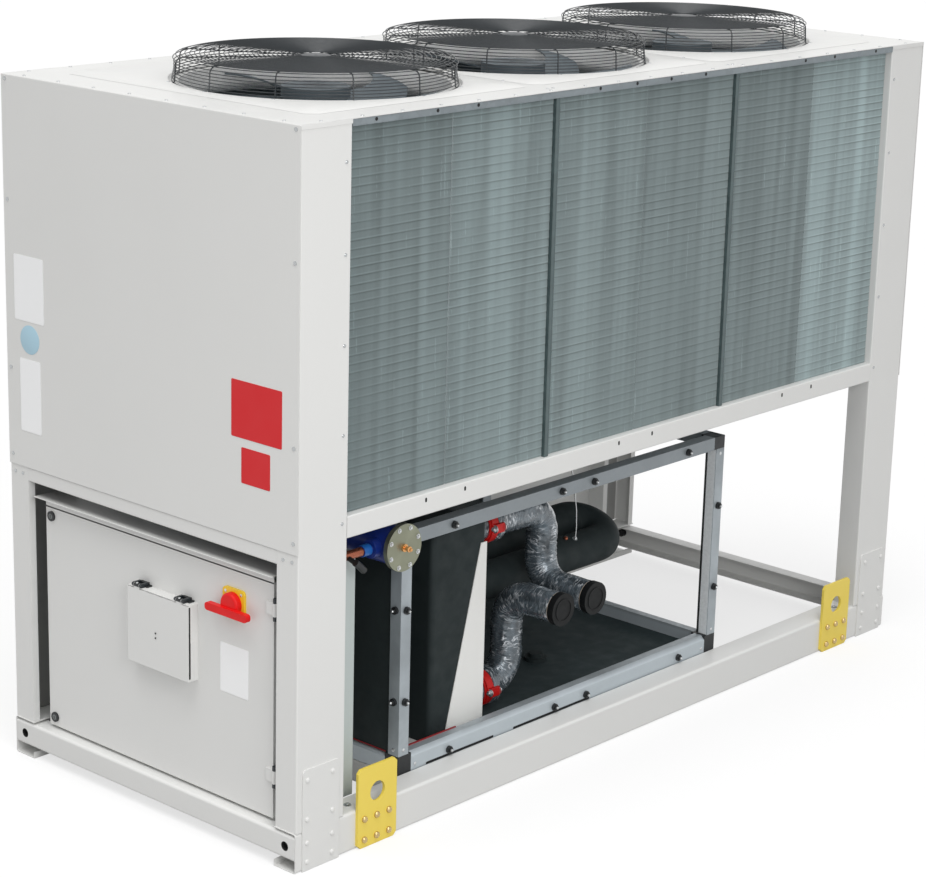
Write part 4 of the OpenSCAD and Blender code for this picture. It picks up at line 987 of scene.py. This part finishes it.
def enclosure_fittings():
    """Pins in the knobs, rivets, seals, and slots of the enclosure's bars drawn as dark marks of painted shade."""
    pins, rivets, seals, red, slots, linings = shapes(6)
    front, reach = enc_low.y, LOW["enclosure_knobs"].y
    ends = ((enc_low.x, -1), (enc_high.x, 1))
    pin = [(0.0045, -0.001), (0.0045, 0.003), (0.003, 0.005)]
    knobs_x, knob_out = (0.228, 0.738, 0.899, 1.398), 0.014
    rivet_r, sill_rivet_x = 0.006, 0.075
    for x in knobs_x:
        for z in (enc_low.z + 0.023, enc_high.z - BAR / 2):
            pins.turned((enc_low.x + x, reach, z), FRONT, pin, 12)
    for x, out in ends:
        for z in (enc_low.z + 0.238, enc_low.z + 0.534):
            pins.turned((x - out * BAR / 2, reach, z), FRONT, pin, 12)
            pins.turned((x + out * knob_out, front + BAR / 2, z), (out, 0, 0), pin, 12)
        for z in (enc_low.z + 0.08, enc_high.z - 0.062):
            rivets.screw((x - out * BAR / 2, front, z), FRONT, rivet_r)
            rivets.screw((x, front + BAR / 2, z), (out, 0, 0), rivet_r)
        rivets.screw((x - out * sill_rivet_x, front, enc_low.z + 0.02), FRONT, rivet_r)

    seal_low, seal_high = enc_low.z + 0.064, enc_high.z - 0.046
    seal_z, seal_h = (seal_low + seal_high) / 2, seal_high - seal_low
    for x, out in ends:
        inner, into = x - out * BAR, (-out, 0, 0)
        seals.plate((inner, front + 0.04, seal_z), into, UP, 0.006, seal_h, 0.004, 0.001)
        linings.plate((inner, front + 0.0195, seal_z), into, UP, 0.033, seal_h, 0.0008, 0.001)

    sill, seal_t, end_gap = enc_low.z + 0.062, 0.003, 0.06
    wall_x, bracket_x = LOW["enclosure_end_wall"].x, LOW["exchanger_bracket"].x
    red.box((wall_x - seal_t, front + end_gap, sill), (wall_x, -front - end_gap, sill + seal_t))
    start = (enc_low.x + end_gap, front + BAR - 0.002, sill - seal_t)
    red.box(start, (bracket_x, front + BAR + seal_t, sill + seal_t))
    # painted shade: dark marks for the slots in the sill
    slot_z, slot_h, slot_t, slot_corner = enc_low.z + 0.006, 0.008, 0.0004, 0.0039
    for x0, x1 in ((-0.88, -0.565), (-0.47, -0.085)):
        slots.plate(((x0 + x1) / 2, front, slot_z), FRONT, UP, x1 - x0, slot_h, slot_t, slot_corner)
    make("sill_slots", slots, hole_shade)
    make("knob_pins", pins, bright_screw)
    make("enclosure_rivets", rivets, bright_screw)
    make("upright_seals", seals, LOOKS["black_plastic"])
    make("sill_seals", red, seal_red)
    make("upright_linings", linings, pale_metal)


def drier_fittings():
    """Bolts and stud of the drier's flange, sleeve of its nozzle and handle of the valve beside it."""
    bolts, stud, handle, nozzle = shapes(4)
    flange_r = (HIGH["drier_flange"].x - LOW["drier_flange"].x) / 2
    face = Vector((drier_centre.x, LOW["drier_flange"].y, drier_centre.z))
    bolt_count, bolt_in = 8, 0.011
    line_y, handle_y = -0.556, -0.6
    for i in range(bolt_count):
        turn = 2 * math.pi * (i + 0.5) / bolt_count
        out = Vector((math.cos(turn), 0, math.sin(turn)))
        bolts.hex_bolt(face + out * (flange_r - bolt_in), FRONT, 0.005, 0.006)
    collar = [(0.012, -0.001), (0.012, 0.004), (0.0065, 0.005), (0.0065, 0.016)]
    tip = [(0.009, 0.017), (0.009, 0.022), (0.005, 0.024), (0.005, 0.029)]
    stud.turned(face, FRONT, collar + tip, 16)
    sleeve = [(0.0172, 0.0006), (0.0182, 0.0016), (0.0182, 0.03), (0.0172, 0.031)]
    nozzle.turned((LOW["drier_shell"].x, line_y, drier_centre.z), (1, 0, 0), sleeve, 32)
    grip = ((-1.254, 0.882), (-1.236, 0.867), (-1.217, 0.849))
    handle.tube([Vector((x, handle_y, z)) for x, z in grip], 0.011, 10)
    stem = ((handle_y, 0.877), (line_y, 0.888))
    handle.tube([Vector((-1.248, y, z)) for y, z in stem], 0.008, 10)
    make("drier_bolts", bolts, bright_screw)
    make("drier_stud", stud, brass)
    make("valve_handle", handle, LOOKS["black_plastic"])
    make("drier_nozzle_sleeve", nozzle, nozzle_blue)


def coupling_bolts():
    """Two bolts with heads and nuts on each coupling."""
    bolts = Shape()
    low, high = LOW["pipe_couplings"], HIGH["pipe_couplings"]
    middle = (low.x + high.x) / 2
    pipe_off, bolt_in, bolt_half, seat = 0.063, 0.006, 0.032, 0.02
    for z in (low.z + pipe_off, high.z - pipe_off):
        for y in (low.y + bolt_in, high.y - bolt_in):
            bolts.tube([Vector((middle - bolt_half, y, z)), Vector((middle + bolt_half, y, z))], 0.005, 10)
            for out in (1, -1):
                bolts.hex_bolt((middle + out * seat, y, z), (out, 0, 0), 0.009, 0.008)
    make("coupling_bolts", bolts, bright_screw)


def pipe_fittings():
    """Insulation ends at the caps, and a plug and a thin pressure line on the suction pipe."""
    rings, plug, fitting = shapes(3)
    half = PIPE_D / 2
    end_y = LOW["lower_water_pipe"].y
    ring = [(half - 0.001, -0.004), (half + 0.0006, -0.003), (half + 0.0006, 0.0)]
    for x, z in ((HIGH["lower_water_pipe"].x - half, HIGH["lower_water_pipe"].z - half),
                 (HIGH["upper_water_pipe"].x - half, LOW["upper_water_pipe"].z + half)):
        rings.turned((x, end_y, z), FRONT, ring, 48)
    out = Vector((0, -0.3, 0.95))
    head = [(0.008, -0.001), (0.008, 0.003), (0.006, 0.008), (0.003, 0.009)]
    plug.turned((0.128, -0.249, 0.5625), out, head, 16)
    fitting.hex_bolt((0.162, -0.262, 0.558), out, 0.006, 0.009)
    line_y, line_r = -0.264, 0.0022
    line = [(0.162, 0.565), (0.165, 0.6), (0.162, 0.66), (0.145, 0.75), (0.118, 0.86), (0.095, 0.96)]
    line.append((0.085, LOW["plenum_floor"].z))
    fitting.tube([Vector((x, line_y, z)) for x, z in line], line_r, 8)
    make("pipe_end_rings", rings, tan_foam)
    make("suction_plug", plug, LOOKS["copper"])
    make("suction_fitting", fitting, bright_screw)


# Stage, lights and camera
def link(name, data):
    """New object in the scene that holds some data."""
    made = bpy.data.objects.new(name, data)
    bpy.context.scene.collection.objects.link(made)
    return made


def seen_directly(tree):
    """One for rays that show a surface to the camera, in metal or through glass."""
    path = tree.nodes.new("ShaderNodeLightPath")
    share = path.outputs["Is Camera Ray"]
    for output in ("Is Glossy Ray", "Is Transmission Ray"):
        larger = tree.nodes.new("ShaderNodeMath")
        larger.operation = "MAXIMUM"
        tree.links.new(share, larger.inputs[0])
        tree.links.new(path.outputs[output], larger.inputs[1])
        share = larger.outputs["Value"]
    return share


def level(tree, share, low, high):
    """Low where the share is nought and high where it is one."""
    made = tree.nodes.new("ShaderNodeMapRange")
    made.inputs["To Min"].default_value = low
    made.inputs["To Max"].default_value = high
    tree.links.new(share, made.inputs["Value"])
    return made.outputs["Result"]


def pale_floor():
    """Wide floor that looks white and keeps the shadow."""
    reach = 90.0
    corners = [(-reach, -reach, 0), (reach, -reach, 0), (reach, reach, 0), (-reach, reach, 0)]
    mesh = bpy.data.meshes.new("floor")
    mesh.from_pydata(corners, [], [(0, 1, 2, 3)])
    floor = link("floor", mesh)
    ground = Look("pale_floor", (182, 182, 182), 0.9, Specular_IOR_Level=0.1)
    seen = seen_directly(ground.tree)
    ground.paint(ground.mix(seen, (FLOOR_LIGHT,) * 3, (FLOOR_SEEN,) * 3))
    glow = level(ground.tree, seen, 0.0, FLOOR_GLOW)
    ground.tree.links.new(glow, ground.shader.inputs["Emission Strength"])
    mesh.materials.append(ground.material)


def studio_light():
    """Even white surroundings, a wide soft sun from above and a soft box at the left front."""
    world = bpy.data.worlds.new("studio")
    bpy.context.scene.world = world
    world.use_nodes = True
    tree = world.node_tree
    sky = tree.nodes["Background"]
    sky.inputs["Color"].default_value = (1, 1, 1, 1)
    tree.links.new(level(tree, seen_directly(tree), SKY_LIGHT, SKY_SEEN), sky.inputs["Strength"])

    lamp = bpy.data.lights.new("soft_sun", "SUN")
    lamp.energy = SUN_ENERGY
    lamp.angle = math.radians(SUN_DEGREES)
    sun = link("soft_sun", lamp)
    sun.rotation_euler = Vector((-0.2, -0.1, 0.95)).to_track_quat("Z", "Y").to_euler()

    lamp = bpy.data.lights.new("soft_box", "AREA")
    lamp.energy = SOFT_BOX_ENERGY
    lamp.shape = "SQUARE"
    lamp.size = SOFT_BOX_SIZE
    box = link("soft_box", lamp)
    box.location = (-3.2, -5.0, 3.1)
    aim = Vector((-0.8, -0.3, 0.9))
    box.rotation_euler = (box.location - aim).to_track_quat("Z", "Y").to_euler()


def camera():
    """Camera at the picture's point of view."""
    lens = bpy.data.cameras.new("camera")
    lens.sensor_fit = "HORIZONTAL"
    lens.sensor_width = SENSOR_W
    lens.lens = FOCAL_PIXELS / IMAGE_W * SENSOR_W
    eye = link("camera", lens)
    right = CAMERA_FORWARD.cross(CAMERA_UP)
    turn = Matrix((right, CAMERA_UP, -CAMERA_FORWARD)).transposed().to_4x4()
    eye.matrix_world = Matrix.Translation(CAMERA_PLACE) @ turn
    bpy.context.scene.camera = eye


camera()
pale_floor()
studio_light()
bpy.context.scene.view_settings.view_transform = "Standard"
coil_side("front", -1)
coil_side("rear", 1)
for name, centre in zip(SIDES, FANS):
    fan_guard(name, centre)
    deck_platform(name, centre, *PLATFORMS[name])
deck_lips()
lifting_plates()
water_pipes()
frame_fasteners()
deck_fasteners()
blank_plates()
door_fittings()
enclosure_fittings()
drier_fittings()
coupling_bolts()
pipe_fittings()
